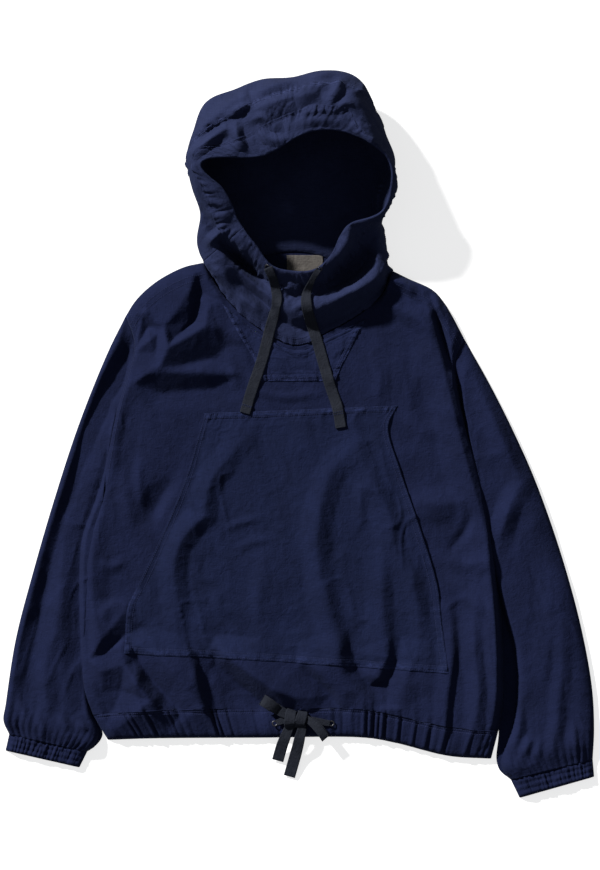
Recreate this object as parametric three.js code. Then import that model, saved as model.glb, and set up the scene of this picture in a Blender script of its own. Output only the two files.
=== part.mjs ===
// A pullover anorak hoodie of thin cotton, laid on its back on a flat surface with its hood
// propped open. Millimetres, +Z up; +Y runs from the hem to the crown of the hood, and "left"
// and "right" are as seen from above, with +X to the right.

import * as THREE from 'three';

// --- driving dimensions ---------------------------------------------------------------------

const WALL = 1.6; // the cloth
const GAP = 0.3; // between two pieces at a seam
const VALLEY_GAP = 1.3; // across the armhole seams, where both pieces lean over the seam
const TABLE = WALL / 2; // the middle of cloth that lies on the surface
const SEAM_HEIGHT = 2 * WALL + GAP - TABLE; // the middle of an edge that lies on one more layer
const OVERLAY = WALL + 1.1; // from one layer's middle to that of a piece sewn on top of it

const BODY_LOFT = 15; // how high the front stands over the surface
const SIDE_ROUND = 17; // how far in from a side seam the front has reached that height
const SLEEVE_LOFT = 15;
const SLEEVE_ROUND = 20;
const CUFF_LOFT = 11;
const HEM_LOFT = 11;
const CASING_DEPTH = 35; // the tunnel round the face opening
const TAPE_THICKNESS = 1.6;

const SHOULDER_COLUMNS = 7; // of the front's grid, from the shoulder's tip to the neck
const NECK_COLUMNS = 18; // from one side of the neck to the other
const SHOULDER_SHARE = 0.22; // of the front's width, in that grid
const SIDE_ROWS = 12; // from the hem to the underarm
const ARMHOLE_ROWS = 14; // from the underarm to the shoulder's tip
const UNDERARM = 0.58; // of the height of the front, in that grid
const CROWN_COLUMNS = 38; // of the hood, from neck to neck over the crown

const HEM_GATHERS = 40;
const CUFF_GATHERS = 15;
const HEM_GATHER = 1.0; // half the height of a gather
const CUFF_GATHER = 0.9;

const HOOD_CENTRE = new THREE.Vector3(-10, 337, 0);
const NECK_LEFT_ANGLE = 219; // where the neck seam meets the shoulders, round that centre
const NECK_RIGHT_ANGLE = 321;
const CENTRE_OFFSET = new THREE.Vector3(0.2, 0.57, 0); // puts the middle of the whole on the origin

// --- outlines in plan, each from the hem upwards or from left to right -----------------------

const OUTLINE = {
  leftSide: [[-285, -386], [-297, -350], [-300, -284], [-298, -190], [-284, -125], [-272, -80]],
  leftArmhole: [[-272, -80], [-264, -30], [-253, 25], [-237, 80], [-227, 125], [-239, 164]],
  rightSide: [[274, -408], [278, -363], [274, -273], [267, -184], [261, -125], [257, -80]],
  rightArmhole: [[257, -80], [247, -40], [235, -5], [221, 50], [215, 102], [227, 132]],
  leftShoulder: [[-239, 164], [-227, 183], [-212, 199], [-191, 215], [-159, 231], [-133, 237]],
  rightShoulder: [[128, 226], [150, 215], [184, 199], [199, 182], [209, 166], [227, 132]],
  neckline: [[-133, 237], [-101, 187], [-56, 146], [-4, 122], [42, 142], [86, 168], [116, 195],
    [128, 226]],
  backNeck: [[-133, 237], [-96, 246], [-56, 252], [-20, 258], [14, 257], [49, 247], [90, 237],
    [128, 226]],
  hemSeam: [[-285, -386], [-206, -379], [-60, -378], [90, -378], [132, -386], [205, -402],
    [274, -408]],
  hemEdge: [[-264, -420], [-206, -418], [-60, -417], [90, -417], [132, -424], [205, -442],
    [264, -446]],
};

const SLEEVES = {
  left: {
    inner: [[-272, -80], [-285, -97], [-294, -135], [-302, -195], [-303, -284], [-301, -350],
      [-290, -388], [-274, -414], [-283, -430], [-293, -436]],
    outer: [[-239, 164], [-263, 116], [-303, 17], [-336, -83], [-365, -182], [-391, -282], [-405, -372],
      [-408, -394], [-400, -413]],
    cuff: { inner: [-304, -458], outer: [-405, -435] },
  },
  right: {
    inner: [[257, -80], [268, -96], [269, -135], [272, -195], [277, -272], [282, -350],
      [281, -408], [270, -448], [275, -463], [292, -475]],
    outer: [[227, 132], [264, 66], [297, 0], [326, -66], [361, -166], [388, -265], [403, -348],
      [406, -405], [404, -448]],
    cuff: { inner: [304, -500], outer: [406, -471] },
  },
};

// --- folds, each a ridge or a trough along a bent line ---------------------------------------
// bend is the sideways bow at mid length, to the left of the way from start to end. left and
// right are the widths of its two flanks, and height is under zero for a trough.

const FOLD_COLUMNS = ['startX', 'startY', 'endX', 'endY', 'bend', 'left', 'right', 'height'];

const FRONT_FOLDS = table(FOLD_COLUMNS, [
  [-72, 12, -160, -215, 8, 20, 32, -6], // beside the pocket's left mouth
  [66, -30, 60, -335, -32, 26, 24, -6], // down the middle of the pocket
  [72, -25, 170, -160, 0, 24, 28, -4],
  [-188, 148, -104, 170, 4, 36, 18, 9], // the bulge over the left chest
  [-230, 84, -82, 96, 8, 28, 18, 6],
  [-146, 216, -182, 140, 0, 16, 18, -5],
  [-214, 142, -190, 106, 0, 15, 15, 4],
  [112, 176, 192, 152, 6, 32, 18, 7], // the bulge over the right chest
  [184, 190, 240, -70, -6, 14, 20, -5],
  [236, -90, 262, -390, 10, 20, 28, 6], // the high right side
  [-272, -120, -276, -370, 0, 26, 22, 4],
  [-112, -330, -40, -386, 0, 20, 18, -4], // drags over the hem
  [60, -328, 122, -396, -4, 20, 18, -4],
  [-230, -330, -164, -396, 0, 20, 18, -4],
]);

const SLEEVE_FOLDS = {
  left: table(FOLD_COLUMNS, [
    [-226, 140, -386, -372, -22, 22, 14, -7], // along the outer edge
    [-262, 20, -350, -400, -12, 28, 26, 5],
    [-292, -130, -300, -360, 0, 12, 18, -5],
  ]),
  right: table(FOLD_COLUMNS, [
    [250, 90, 352, -240, 6, 30, 30, 5],
    [304, -92, 280, -200, 0, 16, 16, -6],
    [366, -330, 352, -440, 0, 14, 16, -5],
    [326, -140, 344, -330, -6, 16, 20, -3],
  ]),
};

// --- the hood, as sections round its centre --------------------------------------------------
// foot: where it leaves the surface. side: the widest line. crown: the brow, or the seam where
// there is one. rim: the edge of the face opening. seam: where along the section, from 0 at the
// foot over 1 at the side and 2 at the crown to 3 at the rim, the front and back panels meet.

const HOOD_STEP = 15; // degrees from row to row
const HOOD_SECTIONS = table(
  ['foot', 'side', 'sideZ', 'crown', 'crownZ', 'rim', 'rimZ', 'seam'],
  [
    [112, 129, 38, 137, 74, 138, 98, 0.55], // 0, to the right
    [124, 145, 42, 147, 74, 141, 100, 0.65],
    [122, 146, 46, 141, 80, 122, 102, 0.8],
    [132, 160, 46, 149, 80, 105, 106, 1.1],
    [145, 176, 46, 155, 78, 90, 110, 1.7],
    [138, 167, 46, 143, 78, 76, 113, 2],
    [127, 152, 46, 129, 80, 64, 113, 2], // 90, the crown
    [130, 155, 46, 124, 82, 57, 110, 2],
    [132, 157, 46, 123, 80, 56, 107, 2],
    [139, 167, 45, 128, 76, 62, 104, 1.9],
    [129, 156, 43, 138, 72, 86, 102, 1.5],
    [124, 149, 42, 142, 74, 122, 98, 0.9],
    [112, 136, 42, 124, 80, 97, 100, 0.6], // 180, to the left
    [110, 130, 36, 117, 72, 87, 92, 0.5],
    [132, 145, 26, 116, 62, 87, 82, 0.3],
    [150, 142, 33, 116, 54, 89, 70, 0], // the neck from here on
    [176, 152, 32, 124, 47, 95, 60, 0],
    [190, 166, 31, 138, 43, 110, 54, 0],
    [210, 180, 30, 148, 41, 114, 50, 0], // 270, the throat
    [200, 174, 31, 146, 41, 116, 50, 0],
    [192, 166, 32, 138, 44, 109, 55, 0],
    [170, 158, 32, 132, 52, 104, 64, 0],
    [144, 142, 28, 124, 60, 103, 78, 0.2],
    [116, 133, 36, 133, 68, 127, 90, 0.45],
  ],
);

const POCKET = {
  bottom: [[-241, -301], [-90, -308], [60, -318], [205, -328]],
  top: [[-130, 30], [-40, 33], [50, 37], [135, 40]],
  left: [[-241, -301], [-236, -236], [-226, -215], [-193, -146], [-158, -63], [-137, 6], [-130, 30]],
  right: [[205, -328], [196, -260], [189, -205], [163, -120], [139, -50], [122, 12], [135, 40]],
};

const INSERT = {
  bottom: [[-53, 74], [50, 74]],
  left: [[-53, 74], [-60, 98], [-84, 140], [-106, 180]],
  right: [[50, 74], [54, 86], [74, 126], [90, 158]],
  top: [[-106, 180], [-57, 141], [-4, 117], [43, 137], [90, 158]],
};

const LABEL = { x: 7.5, y: 236, width: 50, height: 24 };

// --- tapes, from where they leave the cloth to the free end ----------------------------------

const TAPE_COLUMNS = ['x', 'y', 'z', 'width', 'twist'];
const NECK_TAPES = {
  left: table(TAPE_COLUMNS, [
    [-43, 229, 62, 13, 0], [-36, 212, 58, 14, -10], [-31, 186, 50, 15, 10], [-41, 144, 35, 15, 8],
    [-52, 102, 27, 15, 0], [-66, 61, 26, 15, 0], [-75, 30, 26, 15, 0],
  ]),
  right: table(TAPE_COLUMNS, [
    [26, 226, 62, 10, 30], [17, 211, 59, 8, 50], [9, 185, 51, 15, 15], [26, 123, 33, 15, 0],
    [42, 68, 27, 15, 0], [52, 38, 26, 15, 0], [57, 10, 25, 15, 0],
  ]),
};

const BOW = { x: 2, y: -392, z: 19.5 };
const BOW_TAPES = {
  loopLeft: table(TAPE_COLUMNS, [
    [-7, -391, 18.5, 10, 0], [-26, -382, 19, 14, 0], [-44, -371, 22, 15, 0], [-49, -365, 26, 15, 0],
    [-42, -368, 29, 15, 0], [-24, -380, 27, 13, 0], [-7, -389, 23.5, 9, 0],
  ]),
  loopRight: table(TAPE_COLUMNS, [
    [13, -393, 18.5, 8, 0], [22, -403, 18.5, 12, 0], [34, -415, 21, 13, 0], [37, -419, 24.5, 13, 0],
    [32, -411, 27.5, 12, 0], [22, -401, 26, 10, 0], [13, -392, 23.5, 7, 0],
  ]),
  tailLeft: table(TAPE_COLUMNS, [
    [-6, -402, 18, 9, 0], [-17, -418, 16.5, 14, 0], [-24, -431, 10, 16, 0], [-30, -449, 4, 16, 0],
  ]),
  tailRight: table(TAPE_COLUMNS, [
    [6, -403, 20.5, 8, 0], [0, -419, 19, 14, 0], [-6, -440, 9, 16, 0], [-15, -471, 3, 16, 0],
  ]),
};

const EYELETS = { outer: 5, bore: 2.2, height: 1.6 };
const NECK_EYELETS = { left: { angle: 251, along: 2.6 }, right: { angle: 288, along: 2.6 } };
const HEM_EYELETS = { left: { x: -34, y: -397 }, right: { x: 44, y: -397 } };

// --- curves and grids ------------------------------------------------------------------------

function table(columns, rows) {
  return rows.map((row) => Object.fromEntries(columns.map((name, i) => [name, row[i]])));
}

function mix(a, b, share) {
  return a + (b - a) * share;
}

function smooth(from, to, value) {
  return THREE.MathUtils.smoothstep(value, from, to);
}

// 0 to 1 in equal turns of a half circle, so that steps are short at both ends.
function eased(step, steps) {
  return (1 - Math.cos((Math.PI * step) / steps)) / 2;
}

function curve(points) {
  const knots = points.map(([x, y]) => new THREE.Vector3(x, y, 0));
  const line = new THREE.CatmullRomCurve3(knots, false, 'centripetal');
  return (share) => line.getPointAt(THREE.MathUtils.clamp(share, 0, 1));
}

function twoCurves(first, second, joint) {
  return (share) => (share < joint ? first(share / joint) : second((share - joint) / (1 - joint)));
}

// A patch between four curves: bottom and top run across, left and right run along.
function patch(bottom, top, left, right) {
  const corners = [bottom(0), bottom(1), top(0), top(1)];
  return (across, along) => {
    const point = bottom(across).multiplyScalar(1 - along).addScaledVector(top(across), along);
    point.addScaledVector(left(along), 1 - across).addScaledVector(right(along), across);
    point.addScaledVector(corners[0], -(1 - across) * (1 - along));
    point.addScaledVector(corners[1], -across * (1 - along));
    point.addScaledVector(corners[2], -(1 - across) * along);
    point.addScaledVector(corners[3], -across * along);
    return point;
  };
}

function grid(columns, rows, place) {
  return columns.map((across) => rows.map((along) => place(across, along)));
}

function evenly(steps, from = 0, to = 1) {
  return Array.from({ length: steps + 1 }, (_, i) => mix(from, to, i / steps));
}

// Unit normals at the points of a grid. closed: its last column meets its first.
function normalsOf(points, closed) {
  const last = points.length - 1;
  const end = points[0].length - 1;
  return points.map((column, i) => column.map((_, j) => {
    const before = closed ? (i + last) % (last + 1) : Math.max(i - 1, 0);
    const after = closed ? (i + 1) % (last + 1) : Math.min(i + 1, last);
    const across = points[after][j].clone().sub(points[before][j]);
    const along = column[Math.min(j + 1, end)].clone().sub(column[Math.max(j - 1, 0)]);
    const normal = across.clone().cross(along).normalize();
    return cutUpright(normal, [
      ...(j === 0 || j === end ? [across] : []),
      ...(!closed && (i === 0 || i === last) ? [along] : []),
    ]);
  }));
}

// At an open edge the wall is cut upright, so that two pieces that meet in a valley don't cross.
function cutUpright(normal, edges) {
  return edges.reduce((kept, edge) => {
    const outward = new THREE.Vector3(-edge.y, edge.x, 0).normalize();
    const upright = kept.clone().addScaledVector(outward, -kept.dot(outward));
    return upright.length() > 0.5 ? upright.normalize() : kept;
  }, normal);
}

function moved(points, normals, distance) {
  return points.map((column, i) => column.map((point, j) => (
    point.clone().addScaledVector(normals[i][j], distance)
  )));
}

// A closed wall whose middle runs through a grid of points.
function wall(points, { closed = false, thickness = WALL, lift = 0 } = {}) {
  const normals = normalsOf(points, closed);
  const faces = normals.flat().reduce((sum, normal) => sum + normal.z, 0) < 0 ? -1 : 1;
  const upper = moved(points, normals, faces * (lift + thickness / 2));
  const lower = moved(points, normals, faces * (lift - thickness / 2));
  const rows = points[0].length;
  const layer = points.length * rows;
  const positions = [...upper.flat(), ...lower.flat()].flatMap((point) => [point.x, point.y, point.z]);
  const indices = [];
  const quad = (a, b, c, d) => indices.push(a, b, c, a, c, d);
  const at = (i, j) => (i % points.length) * rows + j;
  const spans = closed ? points.length : points.length - 1;
  for (let i = 0; i < spans; i += 1) {
    for (let j = 0; j < rows - 1; j += 1) {
      quad(at(i, j), at(i + 1, j), at(i + 1, j + 1), at(i, j + 1));
      quad(layer + at(i, j), layer + at(i, j + 1), layer + at(i + 1, j + 1), layer + at(i + 1, j));
    }
    quad(at(i, 0), layer + at(i, 0), layer + at(i + 1, 0), at(i + 1, 0));
    quad(at(i, rows - 1), at(i + 1, rows - 1), layer + at(i + 1, rows - 1), layer + at(i, rows - 1));
  }
  if (!closed) {
    const end = points.length - 1;
    for (let j = 0; j < rows - 1; j += 1) {
      quad(at(0, j), at(0, j + 1), layer + at(0, j + 1), layer + at(0, j));
      quad(at(end, j), layer + at(end, j), layer + at(end, j + 1), at(end, j + 1));
    }
  }
  return facingOut(positions, indices);
}

function facingOut(positions, indices) {
  const geometry = new THREE.BufferGeometry();
  geometry.setAttribute('position', new THREE.Float32BufferAttribute(positions, 3));
  const corner = (n) => new THREE.Vector3().fromArray(positions, indices[n] * 3);
  let volume = 0;
  for (let n = 0; n < indices.length; n += 3) {
    volume += corner(n).dot(corner(n + 1).cross(corner(n + 2)));
  }
  if (volume < 0) {
    for (let n = 0; n < indices.length; n += 3) {
      [indices[n + 1], indices[n + 2]] = [indices[n + 2], indices[n + 1]];
    }
  }
  geometry.setIndex(indices);
  geometry.computeVertexNormals();
  return geometry;
}

// --- heights ---------------------------------------------------------------------------------

// From low at a seam to 1 at a distance of round from it, as a quarter circle.
function rise(distance, round, low = 0) {
  const share = Math.min(Math.max(distance / round, 0), 1);
  return low + (1 - low) * Math.sqrt(1 - (1 - share) ** 2);
}

const FOLD_STEPS = 14;

function foldLine(fold) {
  const start = new THREE.Vector2(fold.startX, fold.startY);
  const end = new THREE.Vector2(fold.endX, fold.endY);
  const way = end.clone().sub(start).normalize();
  const middle = start.clone().add(end).multiplyScalar(0.5);
  const bow = new THREE.Vector2(-way.y, way.x).multiplyScalar(2 * fold.bend);
  const line = new THREE.QuadraticBezierCurve(start, middle.add(bow), end);
  return { ...fold, points: line.getPoints(FOLD_STEPS) };
}

function foldHeight(folds, x, y) {
  let height = 0;
  for (const fold of folds) {
    let best = { distance: Infinity };
    for (let n = 0; n < FOLD_STEPS; n += 1) {
      const a = fold.points[n];
      const b = fold.points[n + 1];
      const dx = b.x - a.x;
      const dy = b.y - a.y;
      const reach = ((x - a.x) * dx + (y - a.y) * dy) / (dx * dx + dy * dy);
      const share = THREE.MathUtils.clamp(reach, 0, 1);
      const offX = x - a.x - share * dx;
      const offY = y - a.y - share * dy;
      const distance = Math.hypot(offX, offY);
      if (distance < best.distance) {
        best = { distance, left: dx * offY - dy * offX > 0, along: (n + share) / FOLD_STEPS };
      }
    }
    const width = best.left ? fold.left : fold.right;
    const taper = Math.sqrt(Math.sin(Math.PI * mix(0.06, 0.94, best.along)));
    height += fold.height * taper * Math.exp(-((best.distance / width) ** 2));
  }
  return height;
}

const frontFolds = FRONT_FOLDS.map(foldLine);

function frontTop(x, y) {
  return BODY_LOFT + foldHeight(frontFolds, x, y);
}

// --- body ------------------------------------------------------------------------------------

const plan = Object.fromEntries(Object.entries(OUTLINE).map(([name, points]) => [name, curve(points)]));

function shoulderLine(neck) {
  return (across) => {
    if (across < SHOULDER_SHARE) {
      return plan.leftShoulder(across / SHOULDER_SHARE);
    }
    if (across > 1 - SHOULDER_SHARE) {
      return plan.rightShoulder((across - 1 + SHOULDER_SHARE) / SHOULDER_SHARE);
    }
    return neck((across - SHOULDER_SHARE) / (1 - 2 * SHOULDER_SHARE));
  };
}

const leftEdge = twoCurves(plan.leftSide, plan.leftArmhole, UNDERARM);
const rightEdge = twoCurves(plan.rightSide, plan.rightArmhole, UNDERARM);
const frontPlan = patch(plan.hemSeam, shoulderLine(plan.neckline), leftEdge, rightEdge);
const backPlan = patch(plan.hemSeam, shoulderLine(plan.backNeck), leftEdge, rightEdge);

// How much of its full height the cloth keeps along the armhole, from underarm to shoulder.
function armholeShare(along) {
  const share = (along - UNDERARM) / (1 - UNDERARM);
  return share > 0 ? 0.62 * Math.sin(Math.PI * Math.min(share, 1)) ** 0.6 : 0;
}

function neckShare(across) {
  const rest = Math.min(across, 1 - across) - SHOULDER_SHARE;
  return smooth(0, 0.14, rest);
}

function frontPoint(across, along) {
  const point = frontPlan(across, along);
  const width = frontPlan(0, along).distanceTo(frontPlan(1, along));
  const length = frontPlan(across, 0).distanceTo(frontPlan(across, 1));
  const low = armholeShare(along);
  const sides = rise(across * width, SIDE_ROUND, low) * rise((1 - across) * width, SIDE_ROUND, low);
  const shoulder = rise((1 - along) * length, SIDE_ROUND, neckShare(across));
  point.z = SEAM_HEIGHT + (frontTop(point.x, point.y) - SEAM_HEIGHT) * sides * shoulder;
  return point;
}

const shoulderColumns = Array.from({ length: SHOULDER_COLUMNS }, (_, i) => (
  SHOULDER_SHARE * (1 - Math.cos((Math.PI * i) / (2 * SHOULDER_COLUMNS)))
));
const bodyColumns = [
  ...shoulderColumns,
  ...evenly(NECK_COLUMNS, SHOULDER_SHARE, 1 - SHOULDER_SHARE),
  ...shoulderColumns.map((across) => 1 - across).reverse(),
];
const armholeRows = Array.from({ length: ARMHOLE_ROWS }, (_, i) => (
  mix(UNDERARM, 1, eased(i + 1, ARMHOLE_ROWS))
));
const bodyRows = [...evenly(SIDE_ROWS, 0, UNDERARM), ...armholeRows];

function frontPanel() {
  return wall(grid(bodyColumns, bodyRows, frontPoint));
}

function everySecond(values) {
  return values.filter((_, i) => i % 2 === 0);
}

function backPanel() {
  const rows = everySecond(bodyRows);
  return wall(grid(everySecond(bodyColumns), rows, (across, along) => backPlan(across, along).setZ(TABLE)));
}

// A flattened tube: its top follows place(across, along), and its underside lies on the surface.
function layFlat(columns, rows, place, underColumns) {
  const top = grid(columns, rows, place);
  const under = grid(underColumns.slice(1, -1).reverse(), rows, (across, along) => (
    place(across, along).setZ(TABLE)
  ));
  return wall([...top, ...under], { closed: true });
}

function hemCasing() {
  const left = curve([OUTLINE.hemSeam[0], OUTLINE.hemEdge[0]]);
  const right = curve([OUTLINE.hemSeam.at(-1), OUTLINE.hemEdge.at(-1)]);
  const place = patch(plan.hemSeam, plan.hemEdge, left, right);
  const start = (2 * GAP) / place(0.5, 0).distanceTo(place(0.5, 1));
  return layFlat(evenly(HEM_GATHERS * 3), evenly(2, start, 1), (across, along) => {
    const point = place(across, along);
    const width = place(0, along).distanceTo(place(1, along));
    const sides = rise(across * width, SIDE_ROUND) * rise((1 - across) * width, SIDE_ROUND);
    const gathers = HEM_GATHER * Math.cos(2 * Math.PI * HEM_GATHERS * across);
    const folds = foldHeight(frontFolds, point.x, point.y) * (1 - along);
    point.z = TABLE + (mix(BODY_LOFT, HEM_LOFT, along) + folds + gathers - TABLE) * sides;
    return point;
  }, everySecond(bodyColumns));
}

// --- sleeves and cuffs -----------------------------------------------------------------------

function sleeve(side) {
  const { inner, outer } = SLEEVES[side];
  const folds = SLEEVE_FOLDS[side].map(foldLine);
  const edge = side === 'left' ? 0 : 1;
  const armhole = side === 'left' ? plan.leftArmhole : plan.rightArmhole;
  const cuffSeam = curve([inner.at(-1), outer.at(-1)]);
  const place = patch(armhole, cuffSeam, curve(inner), curve(outer));
  const apart = side === 'left' ? -VALLEY_GAP : VALLEY_GAP;
  const columns = Array.from({ length: ARMHOLE_ROWS + 1 }, (_, i) => eased(i, ARMHOLE_ROWS));
  return layFlat(columns, evenly(17), (across, along) => {
    const point = place(across, along);
    const width = place(0, along).distanceTo(place(1, along));
    const sides = rise(across * width, SLEEVE_ROUND) * rise((1 - across) * width, SLEEVE_ROUND);
    const loft = mix(SLEEVE_LOFT, CUFF_LOFT, smooth(0.9, 1, along));
    const free = TABLE + (loft + foldHeight(folds, point.x, point.y) - TABLE) * sides;
    const seam = frontPoint(edge, mix(UNDERARM, 1, across)).z;
    const ends = Math.min(across, 1 - across) === 0 ? TABLE : seam;
    point.x += apart * (1 - smooth(0, 0.1, along));
    point.z = mix(ends, free, smooth(0, 0.12, along));
    return point;
  }, everySecond(columns));
}

function cuff(side) {
  const { inner, outer, cuff: end } = SLEEVES[side];
  const seam = curve([inner.at(-1), outer.at(-1)]);
  const edge = curve([end.inner, end.outer]);
  const place = patch(seam, edge, curve([inner.at(-1), end.inner]), curve([outer.at(-1), end.outer]));
  return layFlat(evenly(CUFF_GATHERS * 3), evenly(2, 0.03, 1), (across, along) => {
    const point = place(across, along);
    const width = place(0, along).distanceTo(place(1, along));
    const sides = rise(across * width, SLEEVE_ROUND) * rise((1 - across) * width, SLEEVE_ROUND);
    const gathers = CUFF_GATHER * Math.cos(2 * Math.PI * CUFF_GATHERS * across);
    point.z = TABLE + (CUFF_LOFT + gathers - TABLE) * sides;
    return point;
  }, evenly(4));
}

// --- pieces sewn on the front ----------------------------------------------------------------

function sewnOn(outline, columns, rows) {
  const { bottom, top, left, right } = outline;
  const place = patch(curve(bottom), curve(top), curve(left), curve(right));
  const points = grid(evenly(columns), evenly(rows), (across, along) => {
    const point = place(across, along);
    point.z = frontTop(point.x, point.y);
    return point;
  });
  return wall(points, { lift: OVERLAY });
}

function neckLabel() {
  const label = new THREE.BoxGeometry(LABEL.width, LABEL.height, WALL / 2);
  label.translate(LABEL.x, LABEL.y, WALL + GAP + WALL / 4);
  return label;
}

// --- hood ------------------------------------------------------------------------------------

function section(angle) {
  const place = ((angle % 360) + 360) % 360 / HOOD_STEP;
  const first = Math.floor(place);
  const count = HOOD_SECTIONS.length;
  const rows = [-1, 0, 1, 2].map((step) => HOOD_SECTIONS[(first + step + count) % count]);
  return Object.fromEntries(Object.keys(rows[0]).map((name) => (
    [name, through(rows.map((row) => row[name]), place - first)]
  )));
}

// Between the second and third of four values, on a smooth line through all.
function through([a, b, c, d], share) {
  const bend = 2 * a - 5 * b + 4 * c - d;
  const twist = 3 * (b - c) + d - a;
  return b + 0.5 * share * (c - a + share * (bend + share * twist));
}

// The point of the hood at an angle and at a place along its section. foot: its lowest point.
function hoodPoint(angle, along, foot) {
  const size = section(angle);
  const turn = angle * THREE.MathUtils.DEG2RAD;
  const way = new THREE.Vector3(Math.cos(turn), Math.sin(turn), 0);
  const at = (radius, height) => HOOD_CENTRE.clone().addScaledVector(way, radius).setZ(height);
  const start = foot ?? at(size.foot, TABLE);
  const knots = [start, at(size.side, size.sideZ), at(size.crown, size.crownZ), at(size.rim, size.rimZ)];
  const before = start.clone().addScaledVector(way, foot ? 12 : -26);
  const after = knots[3].clone().multiplyScalar(2).sub(knots[2]);
  const line = [before, ...knots, after];
  const first = Math.min(Math.floor(along), 2);
  const four = line.slice(first, first + 4);
  const part = along - first;
  return new THREE.Vector3(...['x', 'y', 'z'].map((axis) => through(four.map((knot) => knot[axis]), part)));
}

const neckSteps = evenly(NECK_COLUMNS);
const crownSteps = evenly(CROWN_COLUMNS);

function crownAngle(share) {
  return mix(NECK_RIGHT_ANGLE - 360, NECK_LEFT_ANGLE, share);
}

function neckFoot(share) {
  const point = frontPoint(mix(SHOULDER_SHARE, 1 - SHOULDER_SHARE, share), 1);
  const inward = HOOD_CENTRE.clone().sub(point).setZ(0).normalize();
  return point.addScaledVector(inward, 4 * GAP);
}

// Once round the hood: the neck from left to right, then over the crown back to the left.
const hoodColumns = [
  ...neckSteps.map((share) => ({
    angle: mix(NECK_LEFT_ANGLE, NECK_RIGHT_ANGLE, share),
    foot: neckFoot(share),
    seam: 0,
  })),
  ...crownSteps.slice(1, -1).map((share) => ({
    angle: crownAngle(share),
    seam: Math.max(section(crownAngle(share)).seam, 0.12),
  })),
];

function casingStart(column) {
  const crown = hoodPoint(column.angle, 2, column.foot);
  const deep = crown.distanceTo(hoodPoint(column.angle, 3, column.foot));
  return Math.max(3 - CASING_DEPTH / deep, 2.08);
}

function hoodFront() {
  const points = hoodColumns.map((column) => {
    const casing = casingStart(column);
    const start = column.seam + (column.foot ? 0 : 0.016);
    const rows = [...evenly(6, start, casing), ...evenly(2, casing, 3).slice(1)];
    return rows.map((along) => hoodPoint(column.angle, along, column.foot));
  });
  return wall(points, { closed: true });
}

function hoodRimCasing() {
  const points = hoodColumns.map((column) => (
    evenly(2, casingStart(column), 3).map((along) => hoodPoint(column.angle, along, column.foot))
  ));
  return wall(points, { closed: true, lift: WALL + 3.3 * GAP });
}

function hoodBack() {
  const backNeck = curve([...OUTLINE.backNeck].reverse());
  const points = crownSteps.slice(1, -1).map((share) => {
    const angle = crownAngle(share);
    const seam = Math.max(section(angle).seam, 0.12);
    const start = backNeck(share).add(new THREE.Vector3(0, GAP * 1.5, 0)).setZ(TABLE);
    const foot = hoodPoint(angle, 0);
    const floor = evenly(4).slice(0, -1).map((part) => start.clone().lerp(foot, part));
    return [...floor, ...evenly(6, 0, seam - 0.012).map((along) => hoodPoint(angle, along))];
  });
  return wall(points);
}

// --- tapes and eyelets -----------------------------------------------------------------------

function tape(rows, steps) {
  const knots = rows.map((row) => new THREE.Vector3(row.x, row.y, row.z));
  const sizes = rows.map((row) => new THREE.Vector3(row.width, row.twist, 0));
  const path = new THREE.CatmullRomCurve3(knots, false, 'centripetal');
  const widths = new THREE.CatmullRomCurve3(sizes, false, 'catmullrom');
  const points = [-0.5, 0.5].map((side) => evenly(steps).map((along) => {
    const centre = path.getPoint(along);
    const way = path.getTangent(along).setZ(0).normalize();
    const { x: width, y: twist } = widths.getPoint(along);
    const across = new THREE.Vector3(-way.y, way.x, 0).applyAxisAngle(way, twist * THREE.MathUtils.DEG2RAD);
    return centre.addScaledVector(across, side * width);
  }));
  return wall(points, { thickness: TAPE_THICKNESS });
}

function knot() {
  const body = new THREE.SphereGeometry(1, 12, 8);
  body.scale(8.2, 8.4, 5);
  body.translate(BOW.x, BOW.y, BOW.z + 2.4);
  return body;
}

function eyelet(centre, normal) {
  const { outer, bore, height } = EYELETS;
  const crest = (outer + bore) / 2;
  const profile = [
    [bore, 0], [outer, 0], [outer - 0.5, height * 0.6], [crest, height], [bore, height * 0.7], [bore, 0],
  ];
  const ring = new THREE.LatheGeometry(profile.map(([r, z]) => new THREE.Vector2(r, z)), 14);
  const turn = new THREE.Quaternion().setFromUnitVectors(new THREE.Vector3(0, 1, 0), normal);
  ring.applyQuaternion(turn);
  ring.translate(centre.x, centre.y, centre.z);
  return ring;
}

function neckEyelet({ angle, along }) {
  const share = (angle - NECK_LEFT_ANGLE) / (NECK_RIGHT_ANGLE - NECK_LEFT_ANGLE);
  const at = (turn, place) => hoodPoint(angle + turn, place, neckFoot(share));
  const across = at(1, along).sub(at(-1, along));
  const inward = at(0, along + 0.1).sub(at(0, along - 0.1));
  const normal = across.cross(inward).normalize();
  const centre = at(0, along).addScaledVector(normal, 1.5 * WALL + 5 * GAP);
  return eyelet(centre, normal);
}

function hemEyelet({ x, y }) {
  return eyelet(new THREE.Vector3(x, y, 18.2), new THREE.Vector3(0, 0, 1));
}

// --- the whole -------------------------------------------------------------------------------

const COLOURS = {
  cloth: 0x1b213f,
  pocket: 0x1a2243,
  tape: 0x262b38,
  metal: 0x8d8f94,
  label: 0x15171f,
};

const hoodie = new THREE.Group();

function add(name, geometry, color, roughness = 0.85, metalness = 0) {
  const mesh = new THREE.Mesh(geometry, new THREE.MeshStandardMaterial({ color, roughness, metalness }));
  mesh.name = name;
  mesh.position.copy(CENTRE_OFFSET);
  hoodie.add(mesh);
}

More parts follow.
